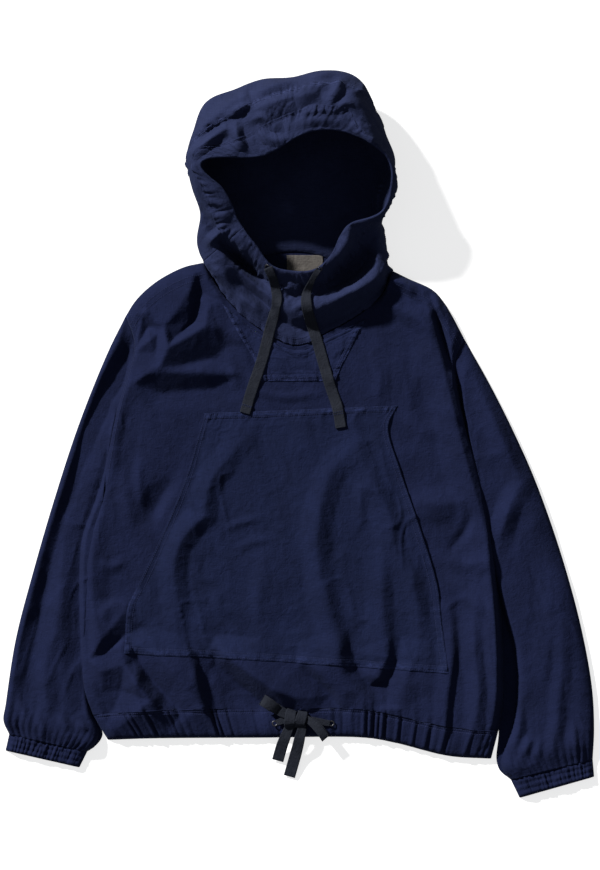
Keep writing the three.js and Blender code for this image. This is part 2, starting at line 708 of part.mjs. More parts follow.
add('back_panel', backPanel(), COLOURS.cloth);
add('front_panel', frontPanel(), COLOURS.cloth);
add('sleeve_left', sleeve('left'), COLOURS.cloth);
add('sleeve_right', sleeve('right'), COLOURS.cloth);
add('cuff_left', cuff('left'), COLOURS.cloth);
add('cuff_right', cuff('right'), COLOURS.cloth);
add('hem_casing', hemCasing(), COLOURS.cloth);
add('neck_insert', sewnOn(INSERT, 7, 7), COLOURS.cloth);
add('kangaroo_pocket', sewnOn(POCKET, 13, 14), COLOURS.pocket);
add('hood_back_panel', hoodBack(), COLOURS.cloth);
add('hood_front_panel', hoodFront(), COLOURS.cloth);
add('hood_rim_casing', hoodRimCasing(), COLOURS.cloth);
add('neck_label', neckLabel(), COLOURS.label);
add('neck_tape_left', tape(NECK_TAPES.left, 16), COLOURS.tape);
add('neck_tape_right', tape(NECK_TAPES.right, 16), COLOURS.tape);
add('bow_knot', knot(), COLOURS.tape);
add('bow_loop_left', tape(BOW_TAPES.loopLeft, 14), COLOURS.tape);
add('bow_loop_right', tape(BOW_TAPES.loopRight, 14), COLOURS.tape);
add('bow_tail_left', tape(BOW_TAPES.tailLeft, 8), COLOURS.tape);
add('bow_tail_right', tape(BOW_TAPES.tailRight, 8), COLOURS.tape);
add('neck_eyelet_left', neckEyelet(NECK_EYELETS.left), COLOURS.metal, 0.35, 1);
add('neck_eyelet_right', neckEyelet(NECK_EYELETS.right), COLOURS.metal, 0.35, 1);
add('hem_eyelet_left', hemEyelet(HEM_EYELETS.left), COLOURS.metal, 0.35, 1);
add('hem_eyelet_right', hemEyelet(HEM_EYELETS.right), COLOURS.metal, 0.35, 1);

export default hoodie;
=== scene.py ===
import math

import bpy
import numpy as np
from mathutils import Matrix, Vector
from mathutils.geometry import delaunay_2d_cdt
from mathutils.kdtree import KDTree


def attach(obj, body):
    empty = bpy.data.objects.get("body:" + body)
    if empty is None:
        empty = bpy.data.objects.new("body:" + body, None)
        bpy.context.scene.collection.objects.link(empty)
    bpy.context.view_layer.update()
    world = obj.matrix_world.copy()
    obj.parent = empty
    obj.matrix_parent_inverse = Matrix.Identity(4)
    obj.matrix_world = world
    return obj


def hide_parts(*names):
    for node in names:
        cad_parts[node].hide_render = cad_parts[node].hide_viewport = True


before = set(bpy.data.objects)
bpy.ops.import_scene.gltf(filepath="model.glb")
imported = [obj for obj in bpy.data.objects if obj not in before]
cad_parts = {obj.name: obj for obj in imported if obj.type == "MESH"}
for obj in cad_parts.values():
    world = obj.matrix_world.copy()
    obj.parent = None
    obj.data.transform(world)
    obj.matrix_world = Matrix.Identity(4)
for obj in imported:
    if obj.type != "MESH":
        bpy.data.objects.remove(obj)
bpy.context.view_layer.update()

# --- the studio -----------------------------------------------------------------------------
# The hoodie lies on its back on a pale table, and the camera hangs straight over it on a long
# lens. A bright lamp stands off to the upper left, low enough for the folds to cast shadows.

TABLE_TOP = bpy.data.materials.new("pale_table")
TABLE_TOP.use_nodes = True
paint = TABLE_TOP.node_tree.nodes["Principled BSDF"].inputs
paint["Base Color"].default_value = (0.42, 0.42, 0.42, 1)
paint["Roughness"].default_value = 0.9
paint["Specular IOR Level"].default_value = 0.1
paint["Emission Color"].default_value = (1, 1, 1, 1)
paint["Emission Strength"].default_value = 0.72

bpy.ops.mesh.primitive_plane_add(size=60, location=(0, 0, -0.0002))
floor = bpy.context.object
floor.name = "floor"
floor.data.materials.append(TABLE_TOP)
floor.visible_diffuse = False  # the table lights nothing, so the cloth's far flanks stay dark
floor.visible_glossy = False

CAMERA_HEIGHT = 6.0
VIEW_LENGTH = 1.2006  # of the table, from the top of the picture to its foot
camera = bpy.data.objects.new("camera", bpy.data.cameras.new("camera"))
bpy.context.scene.collection.objects.link(camera)
camera.location = (0.0009, 0.0005, CAMERA_HEIGHT)
camera.data.sensor_width = 36
camera.data.lens = camera.data.sensor_width * CAMERA_HEIGHT / VIEW_LENGTH
camera.data.clip_end = 100
bpy.context.scene.camera = camera

lamp = bpy.data.objects.new("lamp", bpy.data.lights.new("lamp", "SUN"))
bpy.context.scene.collection.objects.link(lamp)
LAMP_TURN, LAMP_RISE = math.radians(135), math.radians(30)  # from +X, and above the table
lamp.rotation_euler = (0, math.pi / 2 - LAMP_RISE, LAMP_TURN)
lamp.data.energy = 8.4
lamp.data.angle = math.radians(4)
lamp.data.color = (1.0, 0.99, 0.97)

room = bpy.data.worlds.new("room")
room.use_nodes = True
room.node_tree.nodes["Background"].inputs["Color"].default_value = (0.92, 0.95, 1.0, 1)
room.node_tree.nodes["Background"].inputs["Strength"].default_value = 0.27
bpy.context.scene.world = room
bpy.context.scene.view_settings.view_transform = "Standard"

# --- back panel -----------------------------------------------------------------------------
# One flat piece of navy cotton from the hem to the neck, which lies on the table. The front is
# sewn to it at the sides and the shoulders, so its outline is the body's.

MM = 0.001
CENTRE_OFFSET = np.array([0.2, 0.57, 0])
WALL = 1.2  # two layers of cloth at a seam
TABLE = 0.8  # the middle of cloth that lies on the table
UNDERARM = 0.58  # of the body's height
SHOULDER_SHARE = 0.22  # of the body's width, for each shoulder

LEFT_SIDE = [(-285, -386), (-297, -350), (-300, -284), (-298, -190), (-284, -125), (-272, -80)]
LEFT_ARMHOLE = [(-272, -80), (-264, -30), (-253, 25), (-237, 80), (-227, 125), (-239, 164)]
RIGHT_SIDE = [(274, -408), (280, -363), (279, -273), (273, -184), (265, -125), (257, -80)]
RIGHT_ARMHOLE = [(257, -80), (247, -40), (235, -5), (221, 50), (215, 102), (227, 132)]
LEFT_SHOULDER = [(-239, 164), (-227, 183), (-212, 199), (-191, 215), (-159, 231), (-133, 237)]
RIGHT_SHOULDER = [(128, 226), (150, 215), (184, 199), (199, 182), (209, 166), (227, 132)]
BACK_NECK = [(-133, 237), (-96, 246), (-56, 252), (-20, 258), (14, 257), (49, 247), (90, 237),
             (128, 226)]
HEM_SEAM = [(-285, -386), (-206, -379), (-60, -378), (90, -378), (132, -386), (205, -402),
            (274, -408)]


def mix(a, b, share):
    return a + (b - a) * share


def smooth(start, end, value):
    share = np.clip((value - start) / (end - start), 0, 1)
    return share * share * (3 - 2 * share)


def evenly(steps, start=0.0, end=1.0):
    return np.linspace(start, end, steps + 1)


def near_ends(steps, start=0.0, end=1.0):
    """Steps that are shorter at both ends, where the cloth rolls over."""
    turn = evenly(steps)
    return mix(start, end, 0.45 * turn + 0.275 * (1 - np.cos(np.pi * turn)))


def curve(knots, steps=24):
    """The point at any share of the length of a smooth line through the knots."""
    knots = np.array(knots, float)
    ends = np.vstack([2 * knots[0] - knots[1], knots, 2 * knots[-1] - knots[-2]])
    turn = np.linspace(0, 1, steps, endpoint=False)[:, None]
    pieces = []
    for a, b, c, d in zip(ends, ends[1:], ends[2:], ends[3:]):
        before, here, after = (math.sqrt(math.dist(*pair)) for pair in ((a, b), (b, c), (c, d)))
        leaving = here * ((b - a) / before - (c - a) / (before + here) + (c - b) / here)
        reaching = here * ((c - b) / here - (d - b) / (here + after) + (d - c) / after)
        bend = 3 * (c - b) - 2 * leaving - reaching
        twist = 2 * (b - c) + leaving + reaching
        pieces.append(b + turn * (leaving + turn * (bend + turn * twist)))
    line = np.vstack([*pieces, knots[-1:]])
    run = np.concatenate([[0], np.cumsum(np.linalg.norm(np.diff(line, axis=0), axis=1))])
    return lambda share: np.stack(
        [np.interp(share, run / run[-1], line[:, axis]) for axis in range(line.shape[1])], -1)


def joined(*parts):
    """One line from several: each part is a curve and the share at which it ends."""
    def at(share):
        share = np.asarray(share, float)
        point, start = np.zeros(share.shape + (2,)), 0
        for line, end in parts:
            here = (share >= start) & (share <= end)
            point = np.where(here[..., None], line((share - start) / (end - start)), point)
            start = end
        return point
    return at


def patch(bottom, top, left, right):
    """A surface between four lines: bottom and top run across, left and right run along."""
    low_left, low_right, high_left, high_right = bottom(0.0), bottom(1.0), top(0.0), top(1.0)

    def at(across, along):
        u, v = (part[..., None] for part in np.broadcast_arrays(across, along))
        point = (1 - v) * bottom(u[..., 0]) + v * top(u[..., 0])
        point = point + (1 - u) * left(v[..., 0]) + u * right(v[..., 0])
        point = point - (1 - u) * ((1 - v) * low_left + v * high_left)
        return point - u * ((1 - v) * low_right + v * high_right)
    return at


def grid(columns, rows):
    return np.meshgrid(columns, rows, indexing="ij")


def raised(plan, height):
    return np.concatenate([plan, np.broadcast_to(height, plan.shape[:-1])[..., None]], -1)


def part_of_hoodie(name, mesh, material):
    """An object of a finished mesh, which lies still with the rest."""
    mesh.shade_smooth()
    mesh.materials.append(material)
    made = bpy.data.objects.new(name, mesh)
    bpy.context.scene.collection.objects.link(made)
    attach(made, "root")
    return made


def piece(name, points, material, instead=(), grain=0.0, flat=None, thickness=WALL,
          wear=None):
    """A shell of cloth whose middle runs through a grid of points, in millimetres. grain turns
    its weave, in degrees; flat is where each point lies on the cut cloth."""
    columns, rows = points.shape[:2]
    number = np.arange(columns * rows).reshape(columns, rows)
    faces = np.stack([number[:-1, :-1], number[1:, :-1], number[1:, 1:], number[:-1, 1:]], -1)
    spread = np.cross(points[1:, :-1] - points[:-1, :-1], points[:-1, 1:] - points[:-1, :-1])
    if spread[..., 2].sum() < 0:
        faces = faces[..., ::-1]
    mesh = bpy.data.meshes.new(name)
    mesh.from_pydata(((points + CENTRE_OFFSET) * MM).reshape(-1, 3), [], faces.reshape(-1, 4))
    turn = math.radians(grain)
    cut = points[..., :2] if flat is None else flat
    cut = np.stack([cut[..., 0] * math.cos(turn) + cut[..., 1] * math.sin(turn),
                    cut[..., 1] * math.cos(turn) - cut[..., 0] * math.sin(turn),
                    np.zeros(cut.shape[:2])], -1)
    mesh.attributes.new("cut", "FLOAT_VECTOR", "POINT").data.foreach_set(
        "vector", cut.astype(np.float32).ravel())
    if wear is not None:
        mesh.attributes.new("wear", "FLOAT", "POINT").data.foreach_set(
            "value", np.broadcast_to(wear, points.shape[:2]).astype(np.float32).ravel())
    made = part_of_hoodie(name, mesh, material)
    shell = made.modifiers.new("layers", "SOLIDIFY")
    shell.thickness = thickness * MM
    shell.offset = 0
    if instead:
        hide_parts(*instead)
    return made


class Wire:
    """An output of a material's node tree. Sums and products on it add Math nodes."""

    def __init__(self, tree, socket=None):
        self.tree, self.socket = tree, socket

    def node(self, kind, settings=None, sockets=None, out=0):
        made = self.tree.nodes.new("ShaderNode" + kind)
        for name, value in (settings or {}).items():
            if name == "stops":
                ramp = made.color_ramp.elements
                for step, (place, colour) in enumerate(value):
                    stop = ramp[step] if step < len(ramp) else ramp.new(place)
                    stop.position, stop.color = place, (*colour, 1)
            else:
                setattr(made, name, value)
        for name, value in (sockets or {}).items():
            if isinstance(value, Wire):
                self.tree.links.new(value.socket, made.inputs[name])
            else:
                made.inputs[name].default_value = value
        return Wire(self.tree, made.outputs[out])

    def maths(self, operation, *values):
        return self.node("Math", {"operation": operation}, dict(enumerate(values)))

    def __add__(self, other):
        return self.maths("ADD", self, other)

    __radd__ = __add__

    def __sub__(self, other):
        return self.maths("SUBTRACT", self, other)

    def __rsub__(self, other):
        return self.maths("SUBTRACT", other, self)

    def __mul__(self, other):
        return self.maths("MULTIPLY", self, other)

    __rmul__ = __mul__

    def within(self, low, high, start=0.0, end=1.0):
        """start below low, end above high, and smooth between them."""
        return self.node("MapRange", {"interpolation_type": "SMOOTHSTEP"},
                         {0: self, 1: low, 2: high, 3: start, 4: end})

    def blend(self, first, second):
        """A colour between two, as this wire goes from 0 to 1."""
        return self.node("Mix", {"data_type": "RGBA"}, {0: self, 6: first, 7: second}, out=2)


def scaled(wire, across, along):
    return wire.node("VectorMath", {"operation": "MULTIPLY"}, {0: wire, 1: (across, along, 1)})


def cotton(name, deep, worn, sheen=0.03):
    """Navy plain weave, washed soft: uneven yarns both ways, faint mottling, paler on crests."""
    material = bpy.data.materials.new(name)
    material.use_nodes = True
    tree = material.node_tree
    start = Wire(tree)
    cut = start.node("Attribute", {"attribute_name": "cut"}, out=1)
    place = cut.node("SeparateXYZ", sockets={0: cut})
    across, along = place, Wire(tree, place.socket.node.outputs[1])
    yarn = 2 * math.pi / 0.9
    weave = (across * yarn).maths("SINE", across * yarn) * along.maths("SINE", along * yarn)
    weft = cut.node("TexNoise", sockets={"Vector": scaled(cut, 0.07, 1.1), "Scale": 1, "Detail": 3})
    warp = cut.node("TexNoise", sockets={"Vector": scaled(cut, 1.3, 0.06), "Scale": 1, "Detail": 3})
    dye = cut.node("TexNoise", sockets={"Vector": cut, "Scale": 0.022, "Detail": 3,
                                        "Roughness": 0.6})
    crease = cut.node("TexNoise", sockets={"Vector": cut, "Scale": 0.11, "Detail": 4,
                                           "Roughness": 0.55, "Distortion": 0.6})
    crinkle = cut.node("TexNoise", sockets={"Vector": cut, "Scale": 0.32, "Detail": 3,
                                            "Distortion": 0.8})
    uneven = (weft - 0.5) * 0.9 + (warp - 0.5) * 0.7 + (dye - 0.5) * 0.9 + 0.42
    colour = uneven.within(0.0, 1.0).blend((*deep, 1), (*worn, 1))
    wear = start.node("Attribute", {"attribute_name": "wear"}, out=2)
    rubbed = (wear * (crinkle * 1.6 + crease * 1.2)).within(1.0, 2.1)
    colour = rubbed.blend(colour, tuple(1.55 * value + 0.002 for value in worn) + (1,))
    bump = weave * 0.02 + weft * 0.14 + warp * 0.12 + crease * 0.8 + crinkle * 0.35
    relief = bump.node("Bump", sockets={"Height": bump, "Distance": 0.0018, "Strength": 0.9})
    shader = tree.nodes["Principled BSDF"]
    shader.inputs["Roughness"].default_value = 0.92
    shader.inputs["Specular IOR Level"].default_value = 0.08
    shader.inputs["Sheen Weight"].default_value = sheen
    shader.inputs["Sheen Roughness"].default_value = 0.45
    shader.inputs["Sheen Tint"].default_value = (0.3, 0.4, 0.8, 1)
    tree.links.new(colour.socket, shader.inputs["Base Color"])
    tree.links.new(relief.socket, shader.inputs["Normal"])
    return material


NAVY = cotton("navy_cotton", (0.0034, 0.0053, 0.0195), (0.0062, 0.0093, 0.0335))


def neck_between(line):
    """Along the top of the body: a shoulder, a neckline and the other shoulder."""
    return joined((curve(LEFT_SHOULDER), SHOULDER_SHARE), (line, 1 - SHOULDER_SHARE),
                  (curve(RIGHT_SHOULDER), 1.0))


left_edge = joined((curve(LEFT_SIDE), UNDERARM), (curve(LEFT_ARMHOLE), 1.0))
right_edge = joined((curve(RIGHT_SIDE), UNDERARM), (curve(RIGHT_ARMHOLE), 1.0))
back_plan = patch(curve(HEM_SEAM), neck_between(curve(BACK_NECK)), left_edge, right_edge)


def side_lift(edge, along):
    """The body's sides lie on the sleeves, so they are raised by the cloth under them."""
    return 3.0 * smooth(0.0, 0.08, along) * (1 - smooth(0.48, 0.6, along)) * np.exp(-edge / 12)


def apart(first, second):
    return np.linalg.norm(first - second, axis=-1)


def edge_of(plan_of, across, along):
    """The width of a piece there, and how far a point is from its nearer side."""
    width = apart(plan_of(0 * across, along), plan_of(0 * across + 1, along))
    return width, np.minimum(across, 1 - across) * width


back_across, back_along = grid(near_ends(90), evenly(90))
back_edge = edge_of(back_plan, back_across, back_along)[1]
back_points = raised(back_plan(back_across, back_along), TABLE + side_lift(back_edge, back_along))
back = piece("back", back_points, NAVY, ["back_panel"])

# --- front panel ----------------------------------------------------------------------------
# The same cotton, cut wide and full. It stands over the back by the air under it, and its
# folds run down from the neck and the shoulders and gather towards the drawn hem.

BODY_LOFT = 15  # how high the front stands over the table
RIGHT_SLOPE = 10  # the right side falls more steeply, over the sleeve
SIDE_ROUND = 17  # how far in from a seam the cloth has reached its height
SEAM_HEIGHT = 2.7  # of the edges, which lie on the back
NECKLINE = [(-133, 237), (-101, 187), (-56, 146), (-4, 122), (42, 142), (86, 168), (116, 195),
            (128, 226)]

# for each fold, the line of its crest, how wide its upper left and lower right flanks are, and
# its height, which is below zero for a trough
FRONT_FOLDS = [
    # the bunch at the armhole
    ([(-221, 172), (-206, 166)], 5, 9, 5),
    # below the neck
    ([(-88, 171), (-82, 130), (-71, 102)], 12, 12, 3.5),
    ([(-43, 160), (-24, 153), (1, 139)], 10, 12, 5.5),
    ([(-100, 120), (-92, 92), (-86, 60)], 9, 11, 2.75),
    ([(-58, 60), (-20, 52), (30, 58)], 8, 8, 2.75),
    ([(96, 118), (112, 84), (108, 50)], 12, 14, 3.5),
    ([(130, 96), (150, 60), (148, 10)], 14, 16, 2.75),
    # beside the hood on the right
    ([(112, 200), (126, 212), (144, 208), (160, 192)], 7, 10, 11),
    ([(117, 181), (136, 174), (161, 160), (188, 135)], 16, 15, 9),
    ([(177, 190), (188, 177), (194, 160)], 16, 8, 7),
    # along the right armhole, where the body stands over the sleeve
    ([(180, 192), (188, 168), (196, 142), (203, 116), (210, 88)], 8, 6, -14),
    ([(176, 160), (190, 116), (203, 70), (212, 30), (222, -11), (233, -52), (245, -94),
      (256, -140), (262, -180)], 30, 13, 13),
    ([(195, 47), (215, 26), (224, 17)], 16, 16, 4),
    ([(150, 26), (169, 8), (194, 3)], 14, 16, 4),
    # down the right side, by the pocket
    ([(155, -91), (191, -95), (230, -90)], 22, 26, 8.5),
    ([(237, -108), (226, -135), (206, -160)], 9, 9, -5.5),
    ([(194, -168), (224, -178), (260, -174)], 12, 12, 3.5),
    ([(216, -195), (235, -229), (257, -243)], 12, 14, 4),
    ([(206, -237), (210, -298), (202, -367), (199, -429)], 18, 8, 8.5),
    ([(241, -229), (239, -284), (245, -353), (239, -429)], 16, 12, 12),
    ([(257, -150), (264, -215), (270, -284), (271, -350), (264, -420)], 30, 9, 19.5),
    # along the left armhole and side
    ([(-231, 69), (-249, 44), (-259, 6), (-264, -36), (-271, -77)], 7, 16, 5.5),
    ([(-250, -50), (-237, -91), (-228, -132)], 14, 14, 4),
    ([(-219, -29), (-221, -63), (-216, -98)], 9, 11, 4),
    ([(-176, -61), (-193, -91), (-206, -119)], 22, 12, -8.5),
    ([(-282, -119), (-285, -174), (-282, -257), (-279, -353)], 9, 20, 5.5),
    ([(-275, -177), (-259, -182), (-242, -174)], 8, 8, 3.5),
    ([(-273, -254), (-264, -239), (-248, -229)], 9, 12, 4),
    # beside the pocket's left mouth, a long bent fold
    ([(-78, -3), (-97, -30), (-121, -62), (-130, -88), (-130, -110), (-148, -126), (-165, -150),
      (-173, -182), (-168, -236), (-168, -291)], 20, 17, 10),
    ([(-104, -130), (-82, -121), (-52, -113)], 7, 8, 2.75),
    ([(-88, -157), (-60, -146), (-38, -141)], 8, 9, 2.75),
    ([(-52, -174), (-57, -229), (-52, -284)], 14, 16, 3.5),
    ([(-117, -215), (-110, -237), (-90, -246)], 9, 10, 2.75),
    ([(-143, -174), (-137, -195), (-118, -201)], 8, 9, 2.75),
    # down the middle of the pocket, two that part like a tent
    ([(78, -21), (48, -44), (31, -87), (24, -132), (26, -181), (34, -229), (48, -284),
      (56, -323)], 20, 20, 10),
    ([(79, -22), (96, -58), (112, -86), (126, -119), (130, -153), (144, -190), (166, -232)], 26,
     15, 8.5),
    ([(115, -153), (114, -229), (117, -300)], 22, 14, 6.5),
    ([(97, -61), (83, -91), (86, -132)], 12, 12, 2.75),
    ([(152, -174), (161, -229), (166, -298)], 12, 14, 4),
]


# the left chest, thrown up in flat facets by the arm: corners x, y and height, and the creases
# that run from corner to corner
CHEST_CORNERS = [
    (-208, 201, 0), (-171, 223, 0), (-142, 226, 2), (-151, 196, 9), (-186, 149, 10),
    (-174, 131, 4), (-152, 157, -2), (-145, 157, -10), (-140, 196, -9), (-135, 223, 0),
    (-107, 185, 3), (-180, 121, 22), (-130, 150, 18), (-107, 146, 6), (-100, 123, -4),
    (-116, 106, -6), (-151, 98, 3), (-192, 94, 16), (-211, 83, 14), (-228, 72, 4), (-185, 87, 15),
    (-137, 87, 14), (-80, 84, 0), (-122, 64, -4), (-192, 59, -4), (-74, 123, 0), (-82, 168, 0),
    (-206, 130, 12), (-217, 164, 2), (-228, 113, 3), (-241, 66, 0), (-206, 36, 0), (-116, 36, 0),
    (-65, 58, 0), (-195, 139, 4), (-208, 149, -4), (-197, 113, 8), (-126, 176, 6),
]
CHEST_CREASES = [
    (11, 12, 13, 14, 15, 16, 17, 11), (19, 20, 21, 22, 23, 24, 19), (2, 3, 4), (3, 6, 5), (4, 5),
    (6, 7, 8, 9), (18, 17), (18, 19), (18, 20), (9, 10), (7, 12), (4, 11), (34, 35), (27, 34),
    (27, 36),
]

# the drags between the pocket's foot and the gathered hem, in the same way
DRAG_CORNERS = [
    (-241, -244, 8), (-272, -280, 9), (-237, -274, -3), (-270, -299, -2), (-241, -316, 9),
    (-271, -324, 8), (-245, -351, -3), (-272, -354, -2), (-224, -340, 22), (-205, -365, 21),
    (-189, -384, 11), (-246, -291, 6), (-231, -291, -2), (-220, -314, -6), (-207, -335, -10),
    (-187, -357, -8), (-163, -381, 0), (-216, -291, 5), (-194, -303, 14), (-172, -324, 19),
    (-154, -347, 16), (-146, -381, 6), (-150, -299, 8), (-141, -338, 14), (-131, -383, 13),
    (-143, -298, 2), (-134, -338, -2), (-123, -383, -2), (-128, -299, 0), (-115, -317, -6),
    (-83, -344, -11), (-51, -370, -11), (-16, -384, -5), (-115, -291, 6), (-97, -305, 19),
    (-66, -328, 26), (-34, -350, 26), (-1, -362, 16), (19, -383, 5), (-5, -320, 0), (20, -338, -5),
    (42, -359, -8), (60, -381, -3), (5, -311, 8), (30, -328, 14), (52, -350, 14), (71, -376, 6),
    (49, -266, 2), (54, -299, 10), (61, -329, 10), (82, -353, 9), (109, -377, 5), (64, -266, 0),
    (72, -299, -2), (79, -321, -4), (96, -346, -5), (118, -370, -3), (124, -277, 2),
    (120, -307, 7), (107, -335, 8), (140, -277, -1), (134, -310, -4), (120, -338, -6),
    (120, -368, -4), (155, -313, 6), (145, -343, 9), (141, -376, 5), (-288, -228, 0),
    (-290, -310, 0), (-289, -381, 0), (-281, -431, 0), (-191, -431, 0), (-102, -431, 0),
    (1, -431, 0), (63, -431, 0), (119, -431, 0), (182, -431, 0), (199, -387, 0), (196, -346, 0),
    (182, -283, 0), (155, -266, 0), (118, -252, 0), (83, -252, 0), (35, -250, 0), (1, -283, 0),
    (-54, -280, 0), (-115, -274, 0), (-164, -274, 0), (-211, -263, 0), (-235, -225, 0),
]
DRAG_CREASES = [
    (0, 1), (2, 3), (4, 5), (6, 7), (4, 8, 9, 10), (11, 4), (12, 13, 14, 15, 16),
    (17, 18, 19, 20, 21), (22, 23, 24), (25, 26, 27), (28, 29, 30, 31, 32),
    (33, 34, 35, 36, 37, 38), (39, 40, 41, 42), (43, 44, 45, 46), (47, 48, 49, 50, 51),
    (52, 53, 54, 55, 56), (57, 58, 59), (60, 61, 62, 63), (64, 65, 66), (*range(67, 90), 67),
]


def facets(corners, creases, x, y, soft=1.6):
    """The height of flat facets between corners, softened a little where they meet."""
    edges = [edge for line in creases for edge in zip(line, line[1:])]
    made = delaunay_2d_cdt([Vector(corner[:2]) for corner in corners], edges, [], 0, 1e-4)
    places, triangles, sources = made[0], made[2], made[3]
    levels = [np.mean([corners[n][2] for n in source]) if source else 0.0 for source in sources]
    height = np.zeros(np.shape(x))
    for shift_x, shift_y in ((0, 0), (soft, 0), (-soft, 0), (0, soft), (0, -soft)):
        px, py, level = x + shift_x, y + shift_y, np.zeros(np.shape(x))
        for a, b, c in triangles:
            (ax, ay), (bx, by), (cx, cy) = places[a], places[b], places[c]
            area = (bx - ax) * (cy - ay) - (cx - ax) * (by - ay)
            second = ((px - ax) * (cy - ay) - (cx - ax) * (py - ay)) / area
            third = ((bx - ax) * (py - ay) - (px - ax) * (by - ay)) / area
            inside = (second >= 0) & (third >= 0) & (second + third <= 1)
            level = np.where(inside, levels[a] * (1 - second - third) + levels[b] * second
                             + levels[c] * third, level)
        height = height + level / 5
    return height


def noise(x, y, seed):
    """Smooth uneven heights between -1 and 1, a knot to each unit."""
    knots = np.random.RandomState(seed).uniform(-1, 1, (64, 64))
    left, low = np.floor(x).astype(int), np.floor(y).astype(int)
    u, v = (part * part * part * (part * (6 * part - 15) + 10) for part in (x - left, y - low))
    lower = mix(knots[left % 64, low % 64], knots[(left + 1) % 64, low % 64], u)
    upper = mix(knots[left % 64, (low + 1) % 64], knots[(left + 1) % 64, (low + 1) % 64], u)
    return mix(lower, upper, v)


def rumple(x, y, seed, slant=0.0):
    """Soft creases all over, longer along the slant, with sharper lines here and there."""
    turn = math.radians(slant)
    u, v = x * math.cos(turn) + y * math.sin(turn), y * math.cos(turn) - x * math.sin(turn)
    u, v = u + 9 * noise(u / 40, v / 60, seed), v + 14 * noise(u / 50, v / 45, seed + 1)
    swell = noise(u / 34, v / 62, seed + 2) + 0.5 * noise(u / 17, v / 26, seed + 3)
    line = (1 - np.abs(noise(u / 26, v / 58, seed + 4))) ** 6
    small = (1 - np.abs(noise(u / 11, v / 19, seed + 5))) ** 4 - 0.25
    where = smooth(-0.1, 0.7, noise(u / 60, v / 80, seed + 6))
    broad = noise(u / 70, v / 95, seed + 7)
    return 1.4 * broad + 1.4 * swell + 2.2 * line * where + 0.7 * small


def folds(lines, x, y, steps=18):
    """The summed height of folds: flat flanks that meet in a crest and fade at both ends."""
    height = np.zeros(np.shape(x))
    for knots, upper, lower, rise in lines:
        line = curve(knots)(evenly(steps))
        reach = 1.8 * max(upper, lower)
        low, high = line.min(0) - reach, line.max(0) + reach
        near = (x > low[0]) & (x < high[0]) & (y > low[1]) & (y < high[1])
        if not near.any():
            continue
        px, py = x[near], y[near]
        closest, share, side = np.full(px.shape, 1e9), np.zeros(px.shape), np.zeros(px.shape)
        for n, (a, b) in enumerate(zip(line, line[1:])):
            dx, dy = b - a
            part = np.clip(((px - a[0]) * dx + (py - a[1]) * dy) / (dx * dx + dy * dy), 0, 1)
            off_x, off_y = px - a[0] - part * dx, py - a[1] - part * dy
            distance = np.hypot(off_x, off_y)
            better = distance < closest
            closest = np.where(better, distance, closest)
            share = np.where(better, (n + part) / steps, share)
            side = np.where(better, (0.77 * off_y - 0.64 * off_x) / (distance + 0.01), side)
        width = mix(lower, upper, smooth(-0.25, 0.25, side))
        away = np.sqrt((closest / width) ** 2 + 0.015) - 0.12
        flank = 0.5 * (1 - away + np.sqrt((1 - away) ** 2 + 0.012))
        fade = np.sin(np.pi * mix(0.05, 0.95, share)) ** 0.7
        height[near] += rise * fade * flank * smooth(1.8, 1.3, closest / width)
    return height


def rolled(distance, round_, low=0.0):
    """From low at a seam to 1 at round_ from it, as a quarter circle."""
    share = np.clip(distance / round_, 0, 1)
    return low + (1 - low) * np.sqrt(1 - (1 - share) ** 2)


def slack(x, y):
    """The folds and drags of the front, down to the hem's edge."""
    return folds(FRONT_FOLDS, x, y) + facets(DRAG_CORNERS, DRAG_CREASES, x, y)


def front_top(x, y):
    calm = 1 - 0.8 * np.exp(-((x + 150) / 70) ** 2 - ((y - 115) / 70) ** 2)
    return (BODY_LOFT + slack(x, y) + calm * rumple(x, y, 11, 8)
            + facets(CHEST_CORNERS, CHEST_CREASES, x, y))


front_plan = patch(curve(HEM_SEAM), neck_between(curve(NECKLINE)), left_edge, right_edge)


def pleats(run, seed, pitch):
    """Gathers along a drawn or stitched line: uneven in width and depth."""
    run = run / pitch + 0.8 * noise(run / (6 * pitch), 0 * run, seed)
    deep = 0.75 + 0.35 * noise(run / 3, 0 * run, seed + 1)
    return deep * np.cos(2 * np.pi * run) + 0.3 * noise(1.7 * run, 0 * run, seed + 2)


HEM_WIDTH = 560
# the deepest gathers of the hem: how far along it, how wide and how deep
DEEP_GATHERS = [(22, 4, 2.5), (44, 3, 4), (52, 3, 3), (73, 3, 5), (104, 3, 3), (112, 4, 2.5),
                (162, 3, 5), (169, 3, 4.5), (184, 3, 2.5), (268, 3, 2), (330, 4, 2), (376, 3, 4),
                (385, 3.5, 6.5), (394, 3, 6), (402, 3, 5), (424, 3, 4.5), (447, 3, 3),
                (467, 4, 3.5), (491, 3.5, 5), (527, 4, 4), (549, 3, 3)]


def hem_pleats(across):
    """Gathers on the tape: bunched here and there, and nearly flat between."""
    run = across * HEM_WIDTH
    tucks = sum(deep * (np.exp(-((run - place + wide) / wide) ** 2)
                        - np.exp(-((run - place) / wide) ** 2))
                for place, wide, deep in DEEP_GATHERS)
    bunched = mix(0.35, 1.25, smooth(-0.3, 0.5, noise(run / 55, 0 * run, 37)))
    bunched = bunched + 1.2 * np.exp(-((run - 388) / 14) ** 2)
    loose = 1.5 * noise(run / 6.5, 0 * run, 31) + 0.9 * noise(run / 3.4, 0 * run, 33)
    return 0.7 * bunched * (loose + 0.6 * pleats(run, 35, 10.5)) + 0.6 * tucks


